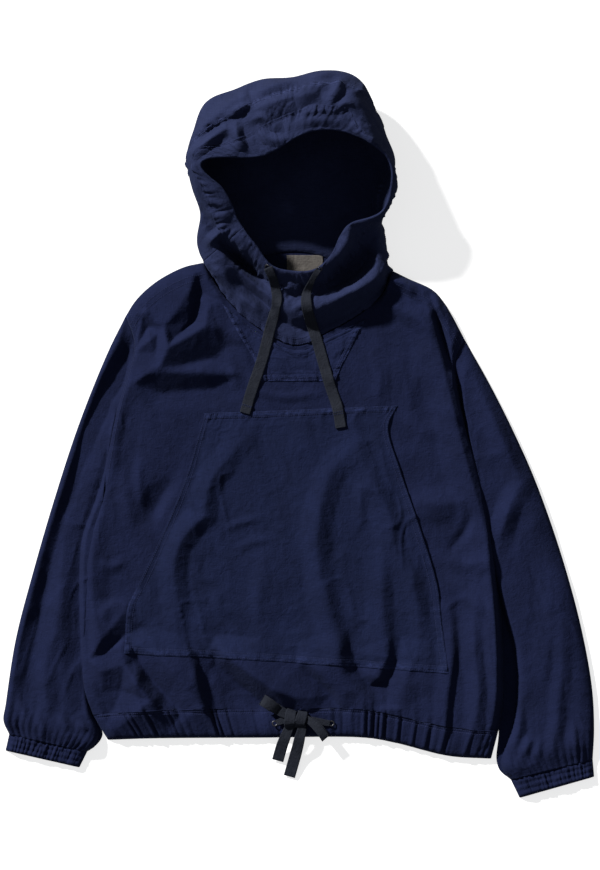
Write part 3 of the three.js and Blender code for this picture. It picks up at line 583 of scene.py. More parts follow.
def front_at(across, along):
    across, along = np.broadcast_arrays(across, along)
    plan = front_plan(across, along)
    width, edge = edge_of(front_plan, across, along)
    length = apart(front_plan(across, 0 * along), front_plan(across, 0 * along + 1))
    armhole = np.sin(np.pi * np.clip((along - UNDERARM) / (1 - UNDERARM), 0, 1)) ** 0.6
    low = armhole * np.where(across < 0.5, 0.45, mix(0.06, 0.8, smooth(0.9, 0.97, along)))
    right = (1 - across) * width / RIGHT_SLOPE
    right = 0.5 * (right + 1 - np.sqrt((right - 1) ** 2 + 0.01))  # straight, then level
    sides = rolled(across * width, SIDE_ROUND, low) * mix(low, 1, right)
    neck = smooth(0, 0.14, np.minimum(across, 1 - across) - SHOULDER_SHARE)
    shoulder = rolled((1 - along) * length, SIDE_ROUND, neck)
    height = SEAM_HEIGHT + (front_top(plan[..., 0], plan[..., 1]) - SEAM_HEIGHT) * sides * shoulder
    drawn = hem_pleats(across) * np.exp(-along * length / 16) * sides
    pucker = 0.5 * noise(along * length / 5, edge / 40, 41) * np.exp(-edge / 9)
    return raised(plan, height + drawn + pucker + side_lift(edge, along))


def worn_edges(points, left=1.0, right=1.0, foot=1.0, top=1.0, reach=7):
    """How worn a sewn piece is at each point of its grid: most along the edges it is sewn by."""
    wear = np.zeros(points.shape[:2])
    for axis, first, last in ((0, left, right), (1, foot, top)):
        steps = np.linalg.norm(np.diff(points, axis=axis), axis=-1)
        run = np.cumsum(np.insert(steps, 0, 0, axis=axis), axis=axis)
        for edge, share in ((run, first), (run.max(axis=axis, keepdims=True) - run, last)):
            wear = np.maximum(wear, share * np.exp(-(edge / reach) ** 4))
    return wear


front_grid = grid(near_ends(186), near_ends(200))
front_points = front_at(*front_grid)
armhole_worn = smooth(UNDERARM - 0.02, UNDERARM + 0.05, front_grid[1])
front = piece("front", front_points, NAVY, ["front_panel"],
              wear=0.8 * worn_edges(front_points, foot=0, top=0, reach=9) * armhole_worn
              + 0.6 * worn_edges(front_points, 0, 0, foot=0, reach=9))


def stitches(name, lines, material, pitch=3.2, thread=0.42):
    """Rows of lockstitches along lines of points and the normals there, in millimetres."""
    ring = 5
    turn = np.arange(ring) * 2 * np.pi / ring
    shape = [(along, size * math.cos(t), size * math.sin(t) * 0.8)
             for along, size in ((-0.46, 0.35), (-0.3, 1), (0.3, 1), (0.46, 0.35)) for t in turn]
    shape = np.array([(-0.5, 0, 0), *shape, (0.5, 0, 0)])
    faces = []
    for low in range(1, 1 + 3 * ring, ring):
        for n in range(ring):
            other = (n + 1) % ring
            faces.append((low + n, low + other, low + ring + other, low + ring + n))
    for n in range(ring):
        faces.append((0, 1 + (n + 1) % ring, 1 + n))
        faces.append((3 * ring + 1 + n, 3 * ring + 1 + (n + 1) % ring, 4 * ring + 1))
    verts, made_faces = [], []
    for points, normals in lines:
        run = np.concatenate([[0], np.cumsum(np.linalg.norm(np.diff(points, axis=0), axis=1))])
        count = max(int(run[-1] / pitch), 1)
        ends = [np.stack([np.interp(np.arange(count) * run[-1] / count + shift * pitch, run,
                                    points[:, axis]) for axis in range(3)], -1)
                for shift in (0.04, 0.86)]
        up = np.stack([np.interp((np.arange(count) + 0.5) * run[-1] / count, run,
                                 normals[:, axis]) for axis in range(3)], -1)
        along = ends[1] - ends[0]
        across = np.cross(up, along)
        across /= np.linalg.norm(across, axis=-1, keepdims=True) + 1e-12
        centre = (ends[0] + ends[1]) / 2 + up * thread * 0.35
        for n in range(count):
            block = (centre[n] + shape[:, :1] * along[n] + shape[:, 1:2] * across[n] * thread
                     + shape[:, 2:] * up[n] * thread)
            base = len(verts) * len(shape)
            verts.append(block)
            made_faces.extend([tuple(base + corner for corner in face) for face in faces])
    mesh = bpy.data.meshes.new(name)
    mesh.from_pydata((np.vstack(verts) + CENTRE_OFFSET) * MM, [], made_faces)
    return part_of_hoodie(name, mesh, material)


def row_on(place, across, along, lift=WALL / 2):
    """A line of points and normals on a surface, along given shares of it."""
    across, along = np.broadcast_arrays(across, along)
    step = 0.002
    point = place(across, along)
    beside = place(across + step, along) - place(across - step, along)
    ahead = place(across, along + step) - place(across, along - step)
    normal = np.cross(beside, ahead)
    normal /= np.linalg.norm(normal, axis=-1, keepdims=True) + 1e-12
    normal = np.where(normal[..., 2:] < 0, -normal, normal)
    return point + normal * lift, normal


THREAD = cotton("navy_thread", (0.009, 0.012, 0.036), (0.017, 0.022, 0.060))
armhole_run = evenly(160, UNDERARM + 0.01, 0.995)
shoulder_run = evenly(90, 0.004, SHOULDER_SHARE)
armhole_rows = [row_on(front_at, share, armhole_run) for share in (0.004, 0.016, 0.984, 0.996)]
shoulder_rows = [row_on(front_at, run, share) for share in (0.975, 0.963)
                 for run in (shoulder_run, 1 - shoulder_run)]
stitches("body_seams", armhole_rows + shoulder_rows, THREAD)

# --- kangaroo pocket ------------------------------------------------------------------------
# A wide trapezoid of the same cotton sewn on the front, with two rows of stitches along its
# top, its foot and its short upright sides. Its slanting sides are the hands' ways in.

NAVY_POCKET = cotton("pocket_cotton", (0.0033, 0.0054, 0.0195), (0.0060, 0.0096, 0.0340))
POCKET_FOOT = [(-241, -301), (-90, -308), (60, -318), (205, -328)]
POCKET_TOP = [(-130, 30), (-40, 33), (50, 37), (135, 40)]
POCKET_LEFT = [(-241, -301), (-236, -236), (-226, -215), (-193, -146), (-158, -63), (-137, 6),
               (-130, 30)]
POCKET_RIGHT = [(205, -328), (196, -260), (189, -205), (163, -120), (139, -50), (122, 12),
                (135, 40)]
ON_TOP = 1.5  # from the middle of one layer to that of a piece sewn on it


def sewn_on(foot, top, left, right, seed, flat_edges=None, puckers=1.0):
    """A place function for a piece sewn flat on the front by two rows of stitches. flat_edges
    says where its sides are sewn down; its foot is, and its top stands proud by its thickness."""
    plan_of = patch(curve(foot), curve(top), curve(left), curve(right))

    def at(across, along):
        across, along = np.broadcast_arrays(across, along)
        plan = plan_of(across, along)
        width, side = edge_of(plan_of, across, along)
        length = apart(plan_of(across, 0 * along), plan_of(across, 0 * along + 1))
        end = np.minimum(along, 1 - along) * length
        sewn = 1.0 if flat_edges is None else flat_edges(along)
        lift = ON_TOP - 0.9 * np.exp(-along * length / 1.5) - 0.9 * sewn * np.exp(-side / 1.5)
        for away, drawn, run in ((end, 1.0, across * width), (side, sewn, along * length)):
            ruck = (0.8 * noise(run / 2.6, away / 25, seed)
                    + 0.9 * noise(run / 7.5, away / 30, seed + 1))
            ruck = ruck * mix(0.35, 1.3, smooth(-0.5, 0.6, noise(run / 31, 0 * run, seed + 2)))
            rows = np.exp(-((away - 2) / 1.5) ** 2) + np.exp(-((away - 9) / 1.6) ** 2)
            band = np.exp(-((away - 5.5) / 6.5) ** 4)
            lift = lift + drawn * (puckers * ruck * band * smooth(0, 2, away) - 0.6 * rows
                                   + 0.5 * band)
        lift = lift + 1.0 * smooth(10, 22, np.minimum(side, end))
        lift = lift + 2.0 * (1 - sewn) * np.exp(-side / 9)
        return raised(plan, front_top(plan[..., 0], plan[..., 1]) + lift)
    return at


def pocket_sewn(along):
    """Its short upright sides and its top corners are sewn down, and its slants are left open."""
    return 1 - smooth(0.24, 0.30, along) * (1 - smooth(0.93, 0.99, along))


pocket_at = sewn_on(POCKET_FOOT, POCKET_TOP, POCKET_LEFT, POCKET_RIGHT, 51, pocket_sewn, 0.8)
pocket_along = near_ends(186)
pocket_points = pocket_at(*grid(near_ends(160), pocket_along))
pocket_worn = np.maximum(
    worn_edges(pocket_points, 0, 0, reach=11),
    0.9 * worn_edges(pocket_points, foot=0, top=0, reach=9) * pocket_sewn(pocket_along))
pocket = piece("pocket", pocket_points, NAVY_POCKET, ["kangaroo_pocket"],
               wear=pocket_worn)

whole, low_half = evenly(300, 0.004, 0.996), evenly(120, 0.004, 0.26)
mouth_run = evenly(220, 0.26, 0.996)
pocket_rows = [row_on(pocket_at, whole, share) for share in (0.006, 0.024, 0.978, 0.994)]
pocket_rows += [row_on(pocket_at, share, low_half) for share in (0.005, 0.019, 0.981, 0.995)]
pocket_rows += [row_on(pocket_at, share, mouth_run) for share in (0.006, 0.024, 0.976, 0.994)]
stitches("pocket_seams", pocket_rows, THREAD)

# --- neck insert ----------------------------------------------------------------------------
# A wedge of cotton let in below the throat, sewn round with two rows of stitches and a short
# bar across its foot. It takes a paler copy of the navy: painted light against the shade that
# the hood and the tapes throw on it.

INSERT_FOOT = [(-53, 74), (50, 74)]
INSERT_LEFT = [(-53, 74), (-60, 98), (-84, 140), (-106, 180)]
INSERT_RIGHT = [(50, 74), (54, 86), (74, 126), (90, 158)]
INSERT_TOP = [(-106, 180), (-57, 141), (-4, 117), (43, 137), (90, 158)]
# a paler copy of the navy cotton: painted light against the shade of the hood and the tapes
NAVY_INSERT_PAINTED_LIGHT = cotton("insert_cotton_painted_light", (0.0044, 0.0068, 0.0238), (0.0082, 0.0122, 0.0415))
insert_at = sewn_on(INSERT_FOOT, INSERT_TOP, INSERT_LEFT, INSERT_RIGHT, 61, puckers=1.5)
insert_points = insert_at(*grid(near_ends(94), near_ends(76)))
insert = piece("insert", insert_points, NAVY_INSERT_PAINTED_LIGHT, ["neck_insert"],
               wear=worn_edges(insert_points, top=0, reach=9))
insert_rows = [row_on(insert_at, whole, share) for share in (0.03, 0.10)]
insert_rows += [row_on(insert_at, share, whole) for share in (0.015, 0.055, 0.945, 0.985)]
stitches("insert_seams", insert_rows, THREAD)

# --- hem casing -----------------------------------------------------------------------------
# A tunnel of the same cotton sewn to the foot of the body, gathered on the tape that runs
# through it. Its underside lies on the table.

HEM_EDGE = [(-264, -420), (-206, -418), (-60, -417), (90, -417), (132, -424), (205, -442),
            (264, -446)]
HEM_LOFT = 11
HEM_DEPTH = 39


def lay_flat(place, columns, rows, under_columns):
    """A flattened tube: place gives its top, and its underside lies on the table."""
    top = place(*grid(columns, rows))
    under = place(*grid(under_columns[::-1], rows))
    under[..., 2] = TABLE
    return np.concatenate([top, under[1:-1], top[:1]])


hem_plan = patch(curve(HEM_SEAM), curve(HEM_EDGE), curve([HEM_SEAM[0], HEM_EDGE[0]]),
                 curve([HEM_SEAM[-1], HEM_EDGE[-1]]))


def hem_at(across, along):
    across, along = np.broadcast_arrays(across, along)
    plan = hem_plan(across, along)
    width = edge_of(hem_plan, across, along)[0]
    sides = rolled(across * width, SIDE_ROUND) * rolled((1 - across) * width, 12)
    body = slack(plan[..., 0], plan[..., 1]) * (1 - along)
    puff = 1.6 * np.sin(np.pi * np.clip(along, 0, 1)) + 1.1 * np.exp(-np.maximum(along, 0) / 0.2)
    puff = puff - 0.9 * np.exp(-((along - 0.10) / 0.05) ** 2)
    slant = hem_pleats(across + 0.012 * (along - 0.3) * (across - 0.4))
    gathers = slant * mix(1.0, 1.3, along)
    edge = rolled((1 - along) * HEM_DEPTH, 7, 0.25)
    top = (mix(BODY_LOFT, HEM_LOFT, along) + body + puff + gathers - TABLE) * edge
    return raised(plan, TABLE + top * sides)


hem_columns, hem_rows = evenly(420), evenly(22, -0.05, 1)
hem_points = lay_flat(hem_at, hem_columns, hem_rows, evenly(80))
hem_worn = np.zeros(hem_points.shape[:2])
hem_worn[:len(hem_columns)] = 0.8 * np.exp(-((hem_rows - 0.1) / 0.16) ** 4)
hem = piece("hem", hem_points, NAVY, ["hem_casing"], wear=hem_worn)
hem_run = evenly(500, 0.01, 0.99)
stitches("hem_seams", [row_on(hem_at, hem_run, share) for share in (0.05, 0.15)], THREAD)

# --- sleeves --------------------------------------------------------------------------------
# Two wide tubes of cotton that lie at the body's sides. Each is sewn into its armhole, runs a
# little under the body's edge, and balloons over its cuff.

SLEEVE_LOFT = 15
CUFF_LOFT = 11
CLOTH_GAP = 1.7  # the least between the middles of a sleeve's two sides
SLEEVES = {
    "left": {
        "inner": [(-272, -80), (-272, -100), (-280, -140), (-286, -195), (-289, -284),
                  (-289, -350), (-280, -388), (-272, -414), (-283, -430), (-293, -436)],
        "outer": [(-239, 164), (-263, 116), (-303, 17), (-336, -83), (-365, -182), (-391, -282),
                  (-405, -372), (-408, -394), (-400, -413)],
        "shelf": [(0.0, 0), (0.1, 4), (0.25, 9), (0.85, 9), (1.0, 0)],
        "rounds": (12, 7),
        "folds": [
            # a deep trough inside the crest of the outer edge
            ([(-228, 163), (-255, 116), (-281, 58), (-307, -15), (-337, -105), (-354, -160),
              (-372, -229), (-386, -291), (-394, -353)], 6, 22, 4),
            ([(-224, 130), (-248, 80), (-272, 36), (-289, -1), (-303, -43), (-319, -91),
              (-333, -139), (-347, -195), (-361, -257), (-374, -326), (-382, -400)], 23, 24, -13.5),
            ([(-222, 160), (-228, 125), (-246, 92), (-268, 56)], 18, 16, -10),
            ([(-240, 100), (-264, 66), (-284, 30), (-299, -10), (-310, -52)], 15, 20, -8.5),
            # where the sleeve falls away to the body
            ([(-260, 20), (-269, -50), (-284, -98), (-299, -139), (-303, -190), (-303, -240),
              (-301, -310), (-299, -380)], 22, 5, -9.5),
            ([(-318, -110), (-330, -200), (-338, -290)], 20, 18, 4),
            ([(-352, -300), (-350, -350), (-342, -390)], 12, 14, 4),
            ([(-386, -367), (-372, -402)], 8, 9, 5.5),
            ([(-330, -388), (-317, -408)], 8, 9, 5.5),
            ([(-358, -385), (-352, -412)], 7, 8, 4),
            ([(-306, -395), (-291, -406)], 7, 9, 5.5),
        ],
        "grain": -15,
    },
    "right": {
        "inner": [(257, -80), (256, -100), (254, -140), (256, -195), (262, -272), (268, -350),
                  (275, -408), (272, -448), (277, -463), (292, -475)],
        "outer": [(227, 132), (264, 66), (297, 0), (326, -66), (361, -166), (388, -265),
                  (403, -348), (406, -405), (404, -448)],
        "shelf": [(0.0, 0), (0.08, 5), (0.16, 18), (0.25, 28), (0.39, 35), (0.52, 43), (0.62, 49),
                  (0.7, 44), (0.82, 24), (0.93, 6), (1.0, 0)],
        "rounds": (12, 20),
        "folds": [
            ([(246, 68), (273, 6), (293, -40), (308, -72)], 16, 12, 8),
            ([(306, -69), (292, -91), (282, -119), (274, -148)], 16, 17, 11),
            ([(292, -91), (308, -100), (330, -130)], 14, 18, 3.5),
            ([(360, -257), (362, -312), (357, -367)], 13, 13, 6),
            ([(354, -353), (355, -395), (346, -436)], 12, 11, 7),
            ([(346, -215), (343, -284), (332, -353)], 20, 18, 4),
            ([(318, -415), (307, -443)], 8, 9, 7),
            ([(297, -367), (302, -402), (296, -430)], 9, 10, 5.5),
            ([(376, -400), (380, -436)], 8, 9, 5.5),
            ([(330, -420), (326, -446)], 7, 7, 5.5),
        ],
        "grain": 14,
    },
}


def sleeve_place(side):
    size = SLEEVES[side]
    left = side == "left"
    seam = curve([size["inner"][-1], size["outer"][-1]])
    plan_of = patch(curve(LEFT_ARMHOLE if left else RIGHT_ARMHOLE), seam, curve(size["inner"]),
                    curve(size["outer"]))
    shelf_at, shelf_width = zip(*size["shelf"])

    def at(across, along):
        across, along = np.broadcast_arrays(across, along)
        plan = plan_of(across, along)
        x, y = plan[..., 0], plan[..., 1]
        width = edge_of(plan_of, across, along)[0]
        shelf = np.interp(along, shelf_at, shelf_width)
        sides = (rolled(across * width - shelf, size["rounds"][0], 0.07)
                 * rolled((1 - across) * width, size["rounds"][1], 0.05))
        loft = mix(SLEEVE_LOFT, CUFF_LOFT, smooth(0.9, 1, along))
        balloon = 5 * np.exp(-((along - 0.955) / 0.035) ** 2)
        creases = folds(size["folds"], x, y) + rumple(x, y, 71 if left else 81, size["grain"])
        gathers = pleats(across * 130, 75, 9) * smooth(0.88, 1, along) * 1.6
        lifted = np.maximum(loft + balloon + creases + gathers, TABLE + CLOTH_GAP)
        free = TABLE + (lifted - TABLE) * sides
        armhole = mix(UNDERARM, 1, np.clip(across, 0, 1))
        seam_height = front_at(0.0 if left else 1.0, armhole)[..., 2]
        return raised(plan, mix(seam_height, free, smooth(0, 0.05, along)))
    return at


for side in ("left", "right"):
    sleeve_at = sleeve_place(side)
    points = lay_flat(sleeve_at, near_ends(62), evenly(200), near_ends(20))
    sleeve = piece("sleeve_cloth_" + side, points, NAVY, ["sleeve_" + side],
                   grain=SLEEVES[side]["grain"])

# --- cuffs ----------------------------------------------------------------------------------
# Short tubes of the same cotton round a band of elastic, which gathers them tightly. Each is
# sewn to its sleeve's end, with the sleeve's fullness drawn into the seam.

CUFFS = {"left": ((-304, -458), (-405, -435)), "right": ((304, -500), (406, -471))}
for side, (inner_end, outer_end) in CUFFS.items():
    inner, outer = SLEEVES[side]["inner"][-1], SLEEVES[side]["outer"][-1]
    cuff_plan = patch(curve([inner, outer]), curve([inner_end, outer_end]),
                      curve([inner, inner_end]), curve([outer, outer_end]))

    def cuff_at(across, along):
        across, along = np.broadcast_arrays(across, along)
        plan = cuff_plan(across, along)
        width = edge_of(cuff_plan, across, along)[0]
        sides = rolled(across * width, 16, 0.1) * rolled((1 - across) * width, 16, 0.1)
        run = across * 105
        gathers = (1.3 * noise(run / 3.6, along * 1.5, 91) + 0.8 * noise(run / 2.1, along * 2, 93)
                   + 0.5 * pleats(run, 95, 6.2)) * mix(1.2, 0.9, along)
        gathers = gathers - 0.5 * np.cos(2 * np.pi * along * 3) * smooth(0, 0.1, along)
        edge = rolled((1 - along) * 24, 4, 0.3) * rolled(along * 24 + 2, 5, 0.75)
        return raised(plan, TABLE + (CUFF_LOFT + gathers - TABLE) * sides * edge)

    points = lay_flat(cuff_at, evenly(190), evenly(24, -0.05, 1), evenly(40))
    cuff = piece("cuff_cloth_" + side, points, NAVY, ["cuff_" + side],
                 grain=SLEEVES[side]["grain"])

# --- hood -----------------------------------------------------------------------------------
# A deep hood of the same cotton, propped open so that its crown stands off the table. A double
# row of stitches runs over the crown where its back meets its front. Its cloth takes a paler,
# greyer copy of the navy: painted light for the light and sheen that the hood catches.

HOOD_CENTRE = np.array([-10.0, 337.0])
NECK_LEFT_ANGLE, NECK_RIGHT_ANGLE = 219, 321
CASING_DEPTH = 35
HOOD_RADIUS = 140  # turns an angle round the hood into the length of its cloth

# for every 15 degrees from the right: foot, side and its height, crown and its height, rim and
# its height, and where the back and front panels meet
HOOD_SECTIONS = np.array([
    (112, 129, 36, 140, 68, 135, 88, 0.55),
    (124, 145, 42, 139, 76, 137, 94, 0.65),
    (122, 148, 44, 126, 95, 121, 101, 0.8),
    (132, 160, 44, 124, 101, 105, 106, 1.1),
    (145, 176, 46, 143, 98, 90, 110, 1.7),
    (138, 167, 46, 143, 94, 76, 113, 2),
    (127, 152, 46, 129, 95, 64, 113, 2),
    (130, 155, 46, 124, 96, 57, 110, 2),
    (132, 157, 46, 123, 94, 56, 107, 2),
    (139, 167, 45, 128, 88, 60, 104, 2.0),
    (129, 156, 43, 138, 80, 80, 102, 1.85),
    (124, 149, 42, 142, 74, 129, 88, 1.3),
    (112, 136, 42, 124, 74, 97, 82, 0.8),
    (110, 130, 40, 117, 64, 87, 74, 0.5),
    (142, 149, 26, 116, 56, 87, 67, 0.3),
    (156, 154, 33, 118, 52, 89, 64, 0),
    (176, 152, 30, 124, 40, 95, 60, 0),
    (190, 160, 34, 134, 33, 110, 56, 0),
    (210, 166, 36, 139, 31, 114, 53, 0),
    (200, 165, 37, 139, 31, 116, 53, 0),
    (192, 162, 37, 132, 34, 107, 56, 0),
    (174, 160, 32, 126, 39, 94, 58, 0),
    (150, 138, 26, 118, 47, 96, 65, 0.2),
    (116, 129, 32, 131, 60, 127, 76, 0.45),
])


def through(a, b, c, d, share):
    """Between the second and third of four values, on a smooth line through them all."""
    bend, twist = 2 * a - 5 * b + 4 * c - d, 3 * (b - c) + d - a
    return b + 0.5 * share * (c - a + share * (bend + share * twist))


def section(angle):
    place = np.mod(angle, 360) / 15
    first = np.floor(place).astype(int)
    rows = [HOOD_SECTIONS[(first + step) % 24] for step in (-1, 0, 1, 2)]
    return np.moveaxis(through(*rows, (place - first)[..., None]), -1, 0)


def hood_at(angle, along, start=None, lean=-26.0):
    """A point of the hood at an angle and at a place along its section: 0 at the foot, 1 at
    the side, 2 at the crown and 3 at the rim. start is the foot's own place, if it has one."""
    angle, along = np.broadcast_arrays(angle, along)
    foot, side, side_z, crown, crown_z, rim, rim_z, _ = section(angle)
    turn = np.radians(angle)
    way = np.stack([np.cos(turn), np.sin(turn), 0 * turn], -1)
    centre = np.array([*HOOD_CENTRE, 0])

    def at(radius, height):
        point = centre + way * radius[..., None]
        point[..., 2] = height
        return point

    first = at(foot, TABLE) if start is None else np.broadcast_to(start, way.shape)
    knots = [first + way * lean, first, at(side, side_z), at(crown, crown_z), at(rim, rim_z)]
    knots.append(2 * knots[4] - knots[3])
    span = np.clip(np.floor(along).astype(int), 0, 2)
    share = (along - span)[..., None]
    point = np.zeros(way.shape)
    for n in range(3):
        point = np.where((span == n)[..., None], through(*knots[n:n + 4], share), point)
    return point


def neck_foot(share):
    """Where the hood leaves the neckline, at a share of the way round it."""
    point = front_at(mix(SHOULDER_SHARE, 1 - SHOULDER_SHARE, share), 1.0)
    inward = np.array([*HOOD_CENTRE, 0]) - point
    inward[..., 2] = 0
    return point + inward / np.linalg.norm(inward, axis=-1, keepdims=True) * 1.2


# a paler, greyer copy of the navy cotton: painted light for the light and sheen on the hood
NAVY_HOOD_PAINTED_LIGHT = cotton("hood_cotton_painted_light", (0.0074, 0.0104, 0.0305), (0.0142, 0.0190, 0.0520))
NECK_STEPS, CROWN_STEPS = 130, 330
neck_share = evenly(NECK_STEPS)
crown_share = evenly(CROWN_STEPS)[1:-1]
crown_angle = mix(NECK_RIGHT_ANGLE - 360, NECK_LEFT_ANGLE, crown_share)
crown_seam = np.maximum(section(crown_angle)[7], 0.12)
hood_angle = np.concatenate([mix(NECK_LEFT_ANGLE, NECK_RIGHT_ANGLE, neck_share), crown_angle])
hood_foot = np.concatenate([neck_foot(neck_share), hood_at(crown_angle, 0.0)])[:, None]
hood_lean = np.concatenate([np.full(NECK_STEPS + 1, 12.0), np.full(CROWN_STEPS - 1, -26.0)])
hood_start = np.concatenate([np.zeros(NECK_STEPS + 1), crown_seam - 0.1])


def hood_grid(along):
    return hood_at(hood_angle[:, None], along, hood_foot, hood_lean[:, None, None])


deep = np.linalg.norm(hood_grid(np.full((len(hood_angle), 1), 3.0))
                      - hood_grid(np.full((len(hood_angle), 1), 2.0)), axis=-1)[:, 0]
casing_start = np.maximum(3 - CASING_DEPTH / deep, 2.08)

# the same kind of folds as the front's, raised and sunk straight up and down
HOOD_FOLDS = [
    # over the crown, along its seam and across it
    ([(-149, 381), (-131, 395), (-113, 408), (-94, 419)], 8, 11, 15),
    ([(-116, 431), (-100, 446), (-85, 455), (-66, 463)], 12, 20, 15),
    ([(-97, 436), (-83, 443), (-67, 450)], 5, 7, 9),
    ([(-64, 438), (-47, 447), (-26, 454), (-7, 458)], 10, 22, 14),
    ([(-7, 454), (9, 461), (28, 465)], 8, 20, 13),
    ([(-67, 427), (-51, 431), (-37, 421), (-26, 412)], 7, 7, 7.5),
    ([(-86, 421), (-85, 404), (-77, 386)], 10, 9, 16.5),
    ([(62, 481), (51, 461), (31, 435)], 16, 7, 8),
    ([(46, 438), (62, 450), (74, 448)], 8, 9, 9),
    ([(63, 476), (76, 458), (89, 432), (99, 408), (109, 383)], 20, 20, 16),
    ([(5, 432), (18, 440), (33, 438)], 7, 8, 9),
    ([(-59, 465), (-32, 476), (-2, 484)], 9, 12, 13.5),
    ([(-18, 459), (9, 470), (47, 478)], 8, 8, 9),
    ([(12, 484), (35, 492), (58, 500)], 8, 9, 9),
    ([(-140, 409), (-127, 424), (-112, 435)], 9, 10, 12),
    ([(-105, 402), (-94, 391), (-86, 378)], 9, 8, 7.5),
    ([(-51, 409), (-33, 400), (-13, 401)], 8, 9, 7.5),
    ([(1, 421), (23, 427), (47, 424)], 8, 8, 6),
    ([(-78, 459), (-75, 470), (-67, 481)], 7, 8, 7.5),
    ([(42, 459), (52, 473), (58, 486)], 6, 8, 9),
    ([(71, 465), (85, 473), (90, 484)], 6, 8, 7.5),
    # down the left edge and the left side of the neck
    ([(-124, 262), (-114, 272), (-102, 280)], 9, 7, 18),
    ([(-124, 288), (-106, 264), (-86, 245), (-65, 228), (-48, 211)], 13, 12, -20),
    ([(-98, 256), (-80, 240), (-62, 225), (-44, 208)], 12, 11, -24),
    ([(-92, 219), (-70, 199), (-48, 181), (-21, 159), (1, 143)], 10, 12, -18),
    ([(-135, 288), (-121, 271), (-107, 256), (-96, 241)], 14, 7, 5),
    ([(-136, 312), (-129, 301), (-121, 290)], 6, 7, -7),
    ([(-120, 340), (-107, 322), (-96, 303)], 8, 8, 4),
    ([(-147, 367), (-142, 348), (-139, 326)], 10, 8, 5),
    ([(-129, 326), (-117, 318), (-103, 315)], 6, 6, 4),
    ([(-124, 304), (-111, 299), (-98, 301)], 6, 6, 4),
    ([(-120, 230), (-103, 216), (-92, 197)], 7, 9, 5),
    ([(-84, 189), (-68, 184), (-51, 170)], 8, 12, 6),
    # the throat's slack, which falls away from the tunnel and rises again in a lobe each side
    ([(-51, 181), (-33, 168), (-13, 154), (5, 137)], 12, 12, 9),
    ([(-24, 198), (-12, 203), (1, 198)], 8, 9, 9),
    ([(-60, 192), (-27, 160), (1, 147), (35, 156), (70, 172), (108, 190)], 17, 13, -10),
    ([(-3, 178), (5, 181), (16, 177)], 5, 7, 6),
    ([(68, 285), (65, 266), (52, 246), (36, 232)], 12, 7, 15),
    ([(94, 262), (91, 242), (80, 228), (64, 213), (39, 199)], 26, 13, -31),
    ([(108, 268), (117, 252), (119, 236), (109, 219), (92, 205), (68, 194), (43, 184)], 18, 14,
     17),
    ([(87, 235), (102, 242), (119, 239)], 8, 8, 4),
    ([(127, 236), (124, 217), (110, 203)], 7, 8, 5),
]


def creased(points, share=1.0):
    """The same points with the hood's folds, at a share of their height."""
    x, y = points[..., 0], points[..., 1]
    rise = (folds(HOOD_FOLDS, x, y) + 1.2 * rumple(x, y, 101, 30)) * share
    height = np.maximum(points[..., 2] + rise, np.minimum(points[..., 2], TABLE + 1))
    return np.concatenate([points[..., :2], height[..., None]], axis=-1)


def normals_of(points):
    """Unit normals of a grid of points, on the side that faces up."""
    normal = np.cross(np.gradient(points, axis=0), np.gradient(points, axis=1))
    normal /= np.linalg.norm(normal, axis=-1, keepdims=True) + 1e-12
    return normal if normal[..., 2].sum() > 0 else -normal


def seam_pucker(run, away, seed):
    """The cloth drawn up in short creases across a row of stitches."""
    return (1.1 * noise(run / 3.4, away / 22, seed) + 0.9 * noise(run / 7, away / 30, seed + 1)
            ) * np.exp(-(away / 11) ** 2)


HOOD_ROWS = 52
share = evenly(HOOD_ROWS)[None]
hood_along = mix(hood_start[:, None], 3.0, share)
hood_points = hood_grid(hood_along)
hood_run = np.radians(hood_angle)[:, None] * HOOD_RADIUS + 0 * share
hood_rise = np.concatenate([np.zeros((len(hood_angle), 1)), np.cumsum(
    np.linalg.norm(np.diff(hood_points, axis=1), axis=-1), axis=1)], axis=1)
hood_points = creased(hood_points, np.where(hood_start[:, None] > 0, 1, smooth(0, 0.1, share)))
crown_pucker = 1.7 * seam_pucker(hood_run, hood_rise, 105) + 0.9 * noise(
    hood_run / 5, hood_rise / 7, 109) * smooth(0.3, 0.7, noise(hood_run / 26, hood_rise / 30, 110))
hood_points += normals_of(hood_points) * crown_pucker[..., None]
hood_normals = normals_of(hood_points)
hood_seams = [(hood_points[:, row] + hood_normals[:, row] * WALL / 2, hood_normals[:, row])
              for row in (1, 4)]
hood_points = np.concatenate([hood_points, hood_points[:1]])
hood_cut = np.stack([hood_run, hood_rise], -1)
hood_cut = np.concatenate([hood_cut, hood_cut[:1]])
hood_worn = np.where(np.append(hood_start, 0)[:, None] > 0, np.exp(-(hood_cut[..., 1] / 12) ** 4),
                     0.5 * np.exp(-(hood_cut[..., 1] / 9) ** 4))
hood_front = piece("hood_front", hood_points, NAVY_HOOD_PAINTED_LIGHT, ["hood_front_panel"],
                   flat=hood_cut, wear=hood_worn)

# The back of the hood lies on the table inside the neck, where it is sewn over the back panel's
# edge, and rises to the crown seam.

back_neck = curve(BACK_NECK[::-1])
back_columns = crown_share[:, None]
NECK_LAP = 6  # how far it reaches over the back panel
UNSEWN = 40  # columns at each end of the lap that have no stitches
floor_start = raised(back_neck(back_columns[:, 0]), TABLE + 1.5)[:, None]
floor_start = floor_start - np.array([0, NECK_LAP, 0])
foot_points = hood_at(crown_angle[:, None], 0.0)
floor_part = floor_start + (foot_points - floor_start) * evenly(24)[None, :-1, None]
floor_part[..., 2] = TABLE + 1.5 * (1 - smooth(NECK_LAP, NECK_LAP + 8, np.linalg.norm(
    floor_part - floor_start, axis=-1)))
rise_share = evenly(42)[None]
rise_part = creased(hood_at(crown_angle[:, None], mix(0, crown_seam[:, None], rise_share)),
                    smooth(0.1, 0.5, rise_share))
back_seam = np.linalg.norm(rise_part - rise_part[:, -1:], axis=-1)
crown_turn = np.radians(crown_angle)[:, None]
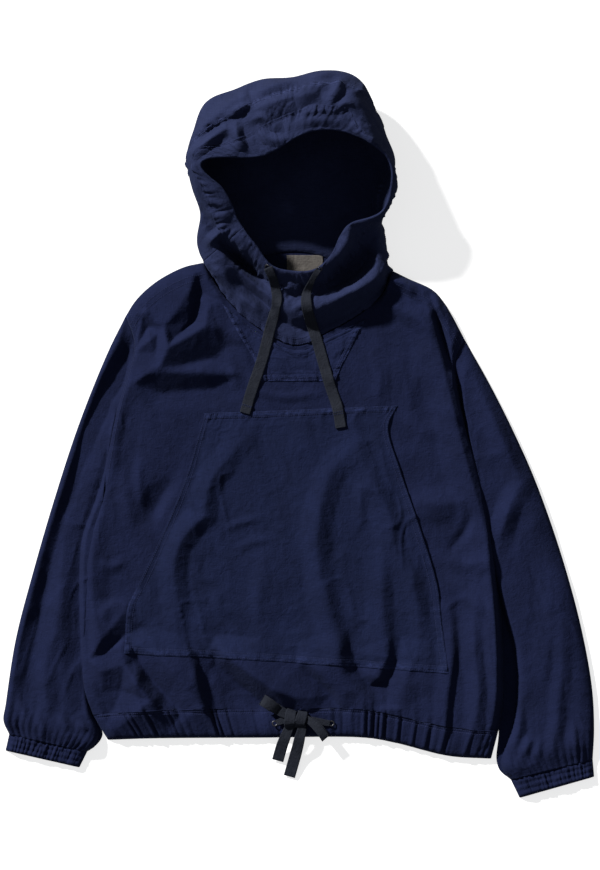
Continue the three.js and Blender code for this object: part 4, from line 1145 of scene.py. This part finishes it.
outward = normals_of(rise_part)
facing = outward[..., 0] * np.cos(crown_turn) + outward[..., 1] * np.sin(crown_turn)
outward = np.where(facing[..., None] < 0, -outward, outward)
rise_part += outward * 1.7 * seam_pucker(hood_run[NECK_STEPS + 1:, :1], back_seam, 105)[..., None]
back_points = np.concatenate([floor_part, rise_part], axis=1)
hood_back = piece("hood_back", back_points, NAVY_HOOD_PAINTED_LIGHT, ["hood_back_panel"],
                  wear=worn_edges(back_points, 0, 0, 0, reach=10))
lap_normals = normals_of(back_points)
lap_up = lap_normals[UNSEWN:-UNSEWN, 1]
hood_seams += [(back_points[UNSEWN:-UNSEWN, 1] + lap_up * WALL / 2, lap_up)]
stitches("hood_seams", hood_seams, THREAD)

# The tunnel round the face is folded over the edge and stitched down 3.5 cm behind it.

RIM_STEPS = 24
RIM_SEAM = 4  # from the tunnel's back edge to its row of stitches
RIM_CUT = 75  # how wide the tunnel's cloth is before it is folded
rim_share = evenly(RIM_STEPS)[None]
rim_points = creased(hood_grid(mix(casing_start[:, None], 3.0, rim_share)))
rim_normals = normals_of(rim_points)
rim_steps = np.linalg.norm(np.diff(rim_points[:, RIM_STEPS // 2], axis=0), axis=-1)
rim_run = np.concatenate([[0], np.cumsum(rim_steps)])[:, None]
rim_away = rim_share * CASING_DEPTH
rim_puff = 1.4 * np.sin(np.pi * rim_share) - 1.1 * np.exp(-((rim_away - RIM_SEAM) / 2.2) ** 2)
rim_puff = rim_puff + 1.6 * seam_pucker(rim_run, np.abs(rim_away - RIM_SEAM), 111)
rim_puff = rim_puff + 0.7 * noise(rim_run / 5, rim_away / 18, 113)
outside = rim_points + rim_normals * (1.5 + rim_puff)[..., None]
way = rim_points[:, -1] - rim_points[:, -2]
way /= np.linalg.norm(way, axis=-1, keepdims=True)
bend = np.radians(np.linspace(90, -90, 9)[1:-1])
roll = np.stack([rim_points[:, -1] + way * 1.6 * math.cos(t) + rim_normals[:, -1] * 1.5
                 * math.sin(t) for t in bend], axis=1)
inside = rim_points[:, ::-3] - rim_normals[:, ::-3] * 1.5
rim_all = np.concatenate([outside, roll, inside], axis=1)
rim_all = np.concatenate([rim_all, rim_all[:1]])
rim_cut = np.stack(np.broadcast_arrays(np.append(rim_run, rim_run[-1:] + 2)[:, None],
                                       evenly(rim_all.shape[1] - 1)[None] * RIM_CUT), -1)
rim_worn = np.zeros(rim_all.shape[:2])
rim_worn[:, :rim_away.shape[1]] = 0.8 * np.exp(-((rim_away - RIM_SEAM) / 7) ** 4)
rim = piece("hood_rim", rim_all, NAVY_HOOD_PAINTED_LIGHT, ["hood_rim_casing"], flat=rim_cut,
            thickness=0.8, wear=rim_worn)
rim_row = np.argmin(np.abs(rim_away[0] - RIM_SEAM))
rim_up = normals_of(outside)[:, rim_row]
stitches("rim_seam", [(outside[:, rim_row] + rim_up * 0.5, rim_up)], THREAD)

# --- neck label -----------------------------------------------------------------------------
# A small blank patch of dark woven satin, sewn along its edges to the inside of the back of
# the neck.

LABEL = {"x": 7.5, "y": 236, "width": 50, "height": 24}
label_x, label_y = grid(evenly(40, -0.5, 0.5), evenly(20, -0.5, 0.5))
label_points = raised(np.stack([LABEL["x"] + label_x * LABEL["width"],
                                LABEL["y"] + label_y * LABEL["height"]], -1), TABLE + 1.6)
LABEL_SATIN = cotton("label_satin", (0.055, 0.050, 0.048), (0.105, 0.097, 0.088), sheen=0.0)
label = piece("blank_label", label_points, LABEL_SATIN, ["neck_label"],
              thickness=0.7)

# --- drawing tapes --------------------------------------------------------------------------
# Flat tapes of dark grey cotton. Two leave the hood's tunnel at the throat and hang down the
# front, each with its end folded up and sewn. Two leave the hem and are tied in a small bow.

TAPE = cotton("grey_tape", (0.0075, 0.0090, 0.0140), (0.0145, 0.0165, 0.0230))
TAPE_WIDTH = 15
TAPE_THICKNESS = 1.3
TAPE_COLUMNS = 10  # of faces across it
TAPE_STEPS = 110  # along each that ends free
END_STEPS = 24  # along each folded end

laid = [part.reshape(-1, 3) for part in (front_points, insert_points, pocket_points,
                                         hood_points, outside)]
laid = np.vstack(laid)
laid = laid[(np.abs(laid[:, 0]) < 110) & (laid[:, 1] > -20) & (laid[:, 1] < 260)]
cloth_tops = KDTree(len(laid))
for number, (x, y, _) in enumerate(laid):
    cloth_tops.insert((x, y, 0), number)
cloth_tops.balance()


def cloth_height(x, y, reach=3.5):
    return max((laid[number, 2] for _, number, _ in cloth_tops.find_range((x, y, 0), reach)),
               default=15.0)


def laid_on(rows, steps=70):
    """The rows x, y, width and twist of a tape, raised and tilted to lie on the cloth."""
    line = curve(rows)(evenly(steps))
    way = np.gradient(line[:, :2], axis=0)
    beside = np.stack([-way[:, 1], way[:, 0]], -1) / np.linalg.norm(way, axis=-1, keepdims=True)
    sides = [np.array([cloth_height(x + share * width * bx, y + share * width * by)
                       for (x, y, width, _), (bx, by) in zip(line, beside)])
             for share in (-0.42, 0, 0.42)]
    ease = np.ones(5) / 5
    sides = [np.convolve(np.pad(side, 2, "edge"), ease, "valid") for side in sides]
    middle = np.maximum(sides[1], (sides[0] + sides[2]) / 2)
    tilt = np.degrees(np.arctan2(sides[2] - sides[0], 0.84 * line[:, 2]))
    middle = middle + WALL / 2 + TAPE_THICKNESS / 2 + 0.3
    return [(x, y, z, width, twist + 0.9 * turn)
            for (x, y, width, twist), z, turn in zip(line, middle, tilt)]


# x, y, width and twist in degrees, from the eyelet to the free end
NECK_TAPES = {
    "left": [(-43, 229, 13, 0), (-36, 212, 13, -6), (-31, 186, 14, 4), (-41, 144, 15, 0),
             (-52, 102, 15, 0), (-66, 61, 15, 0), (-75, 30, 15, 0)],
    "right": [(26, 226, 8, 10), (17, 211, 8, 24), (9, 185, 14, 6), (26, 123, 15, 0),
              (42, 68, 15, 0), (52, 38, 15, 0), (57, 10, 15, 0)],
}


def ribbon(rows, steps):
    """The middle line of a tape and the grid of points across it."""
    line = curve([row[:3] for row in rows])
    run = evenly(steps)
    middle = line(run)
    sizes = np.array([row[3:] for row in rows], float)
    places = [np.argmin(np.linalg.norm(middle - np.array(row[:3]), axis=-1)) / steps
              for row in rows]
    width = np.interp(run, places, sizes[:, 0])
    twist = np.radians(np.interp(run, places, sizes[:, 1]))
    way = np.gradient(middle, axis=0)
    way[:, 2] = 0
    way /= np.linalg.norm(way, axis=-1, keepdims=True)
    beside = np.stack([-way[:, 1], way[:, 0], 0 * run], -1)
    up = np.array([0.0, 0.0, 1.0])
    across = beside * np.cos(twist)[:, None] + up * np.sin(twist)[:, None]
    share = evenly(TAPE_COLUMNS, -0.5, 0.5)
    points = middle[None] + share[:, None, None] * (across * width[:, None])[None]
    return middle, points


def tape_piece(name, rows, steps, instead):
    middle, points = ribbon(rows, steps)
    run = np.concatenate([[0], np.cumsum(np.linalg.norm(np.diff(middle, axis=0), axis=-1))])
    across = evenly(TAPE_COLUMNS, -TAPE_WIDTH / 2, TAPE_WIDTH / 2)
    cut = np.stack(np.broadcast_arrays(across[:, None], run[None]), -1)
    made = piece(name, points, TAPE, instead, flat=cut, thickness=TAPE_THICKNESS)
    return made, (middle + CENTRE_OFFSET) * MM, run[-1] * MM


FOLDED_ENDS = {"left": 16, "right": 29}  # how much of each free end is folded up and sewn
for side, rows in NECK_TAPES.items():
    rows = laid_on(rows)
    tape, middle, length = tape_piece("drawcord_" + side, rows, TAPE_STEPS,
                                      ["neck_tape_" + side])
    count = round(FOLDED_ENDS[side] / length * MM * len(rows))
    end_rows = [(x, y, z + TAPE_THICKNESS + 0.15, width - 0.6, twist)
                for x, y, z, width, twist in rows[-count:]]
    end, _, _ = tape_piece("tape_end_" + side, end_rows, END_STEPS, [])
    _, end_points = ribbon(end_rows, END_STEPS)
    up = np.tile([0.0, 0.0, 1.0], (TAPE_COLUMNS + 1, 1))
    rows_across = [(end_points[:, column] + up * TAPE_THICKNESS / 2, up) for column in (2, 5)]
    sewing = stitches("tape_stitches_" + side, rows_across, THREAD, 2.2, 0.4)

BOW_LOOPS = {
    "left": [(-8, -389, 19.5, 12, 0), (-26, -380, 20.5, 14, 0), (-42, -370, 22, 15, 0),
             (-51, -364, 25.5, 16, 0), (-46, -367, 28.5, 16, 0), (-37, -373, 27, 15.5, 0),
             (-30, -378, 22.5, 13, 0)],
    "right": [(5, -388, 19.5, 9, 0), (18, -395, 19, 12, 0), (30, -408, 20.5, 13, 0),
              (36, -417, 23.5, 13, 0), (31, -410, 26.5, 12, 0), (18, -396, 26, 11, 0),
              (5, -387, 23.5, 8, 0)],
}
BOW_TAILS = {
    "left": [(42, -397, 17.5, 8, 0), (24, -394, 18.5, 10, 0), (2, -391, 19.5, 10, 0),
             (-12, -400, 18.5, 12, 0), (-20, -417, 16.5, 15, 0), (-25, -431, 10, 16, 0),
             (-30, -449, 4, 16, 0)],
    "right": [(-31, -396, 17.5, 8, 0), (-20, -392, 19, 10, 0), (-6, -390, 21, 10, 0),
              (3, -401, 20.5, 12, 0), (0, -418, 18, 15, 0), (-5, -439, 9, 16, 0),
              (-14, -471, 3, 16, 0)],
}
KNOT_WRAPS = [
    [(-10, -378, 17.5, 13, 0), (-12, -383, 24.5, 15, 0), (-13, -390, 26.5, 15, 3),
     (-14, -397, 25, 15, 0), (-13, -402, 17.5, 13, 0)],
    [(5, -379, 17.5, 12, 0), (4, -384, 25, 14, 0), (2, -390, 27.5, 15, -3),
     (0, -397, 25.5, 14, 0), (0, -402, 17.5, 12, 0)],
]
knots = [tape_piece("bow_knot_cloth_" + side, rows, 40, instead)[0]
         for side, rows, instead in zip(("left", "right"), KNOT_WRAPS, (["bow_knot"], []))]
for side, rows in BOW_LOOPS.items():
    loop, _, _ = tape_piece("bow_loop_cloth_" + side, rows, 70, ["bow_loop_" + side])
for side, rows in BOW_TAILS.items():
    tail, middle, length = tape_piece("hem_tape_" + side, rows, TAPE_STEPS, ["bow_tail_" + side])

# --- eyelets --------------------------------------------------------------------------------
# Small rings of dulled steel, pressed into the cloth round the holes that the tapes come out
# of: two in the hood's tunnel and two in the hem.

STEEL = bpy.data.materials.new("dull_steel")
STEEL.use_nodes = True
steel = STEEL.node_tree.nodes["Principled BSDF"]
scratch = Wire(STEEL.node_tree).node("TexNoise", sockets={"Scale": 900, "Detail": 3})
steel.inputs["Base Color"].default_value = (0.06, 0.06, 0.065, 1)
steel.inputs["Metallic"].default_value = 1
STEEL.node_tree.links.new(scratch.within(0.2, 0.8, 0.3, 0.5).socket, steel.inputs["Roughness"])
rim_top = outside.reshape(-1, 3)
rim_facing = normals_of(outside).reshape(-1, 3)
HEM_TOP = 16.2  # the height of the hem's eyelets
EYELETS = {"neck_eyelet_left": (-43, 230), "neck_eyelet_right": (26, 228),
           "hem_eyelet_left": (-34, -397), "hem_eyelet_right": (44, -397)}
for name, (x, y) in EYELETS.items():
    if name.startswith("neck"):
        nearest = np.argmin(np.hypot(rim_top[:, 0] - x, rim_top[:, 1] - y))
        place, facing = rim_top[nearest], Vector(rim_facing[nearest])
    else:
        place, facing = np.array([x, y, HEM_TOP]), Vector((0, 0, 1))
    bpy.ops.mesh.primitive_torus_add(major_segments=48, minor_segments=14,
                                     major_radius=3.3 * MM, minor_radius=0.95 * MM)
    eyelet = bpy.context.object
    eyelet.name = name.replace("eyelet", "ring")
    for vertex in eyelet.data.vertices:
        vertex.co.z *= 0.6
    eyelet.data.transform(facing.to_track_quat("Z", "Y").to_matrix().to_4x4())
    centre = Vector((place + CENTRE_OFFSET) * MM) + facing * 0.9 * MM
    for vertex in eyelet.data.vertices:
        vertex.co += centre
    eyelet.data.shade_smooth()
    eyelet.data.materials.append(STEEL)
    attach(eyelet, "root")
    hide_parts(name)
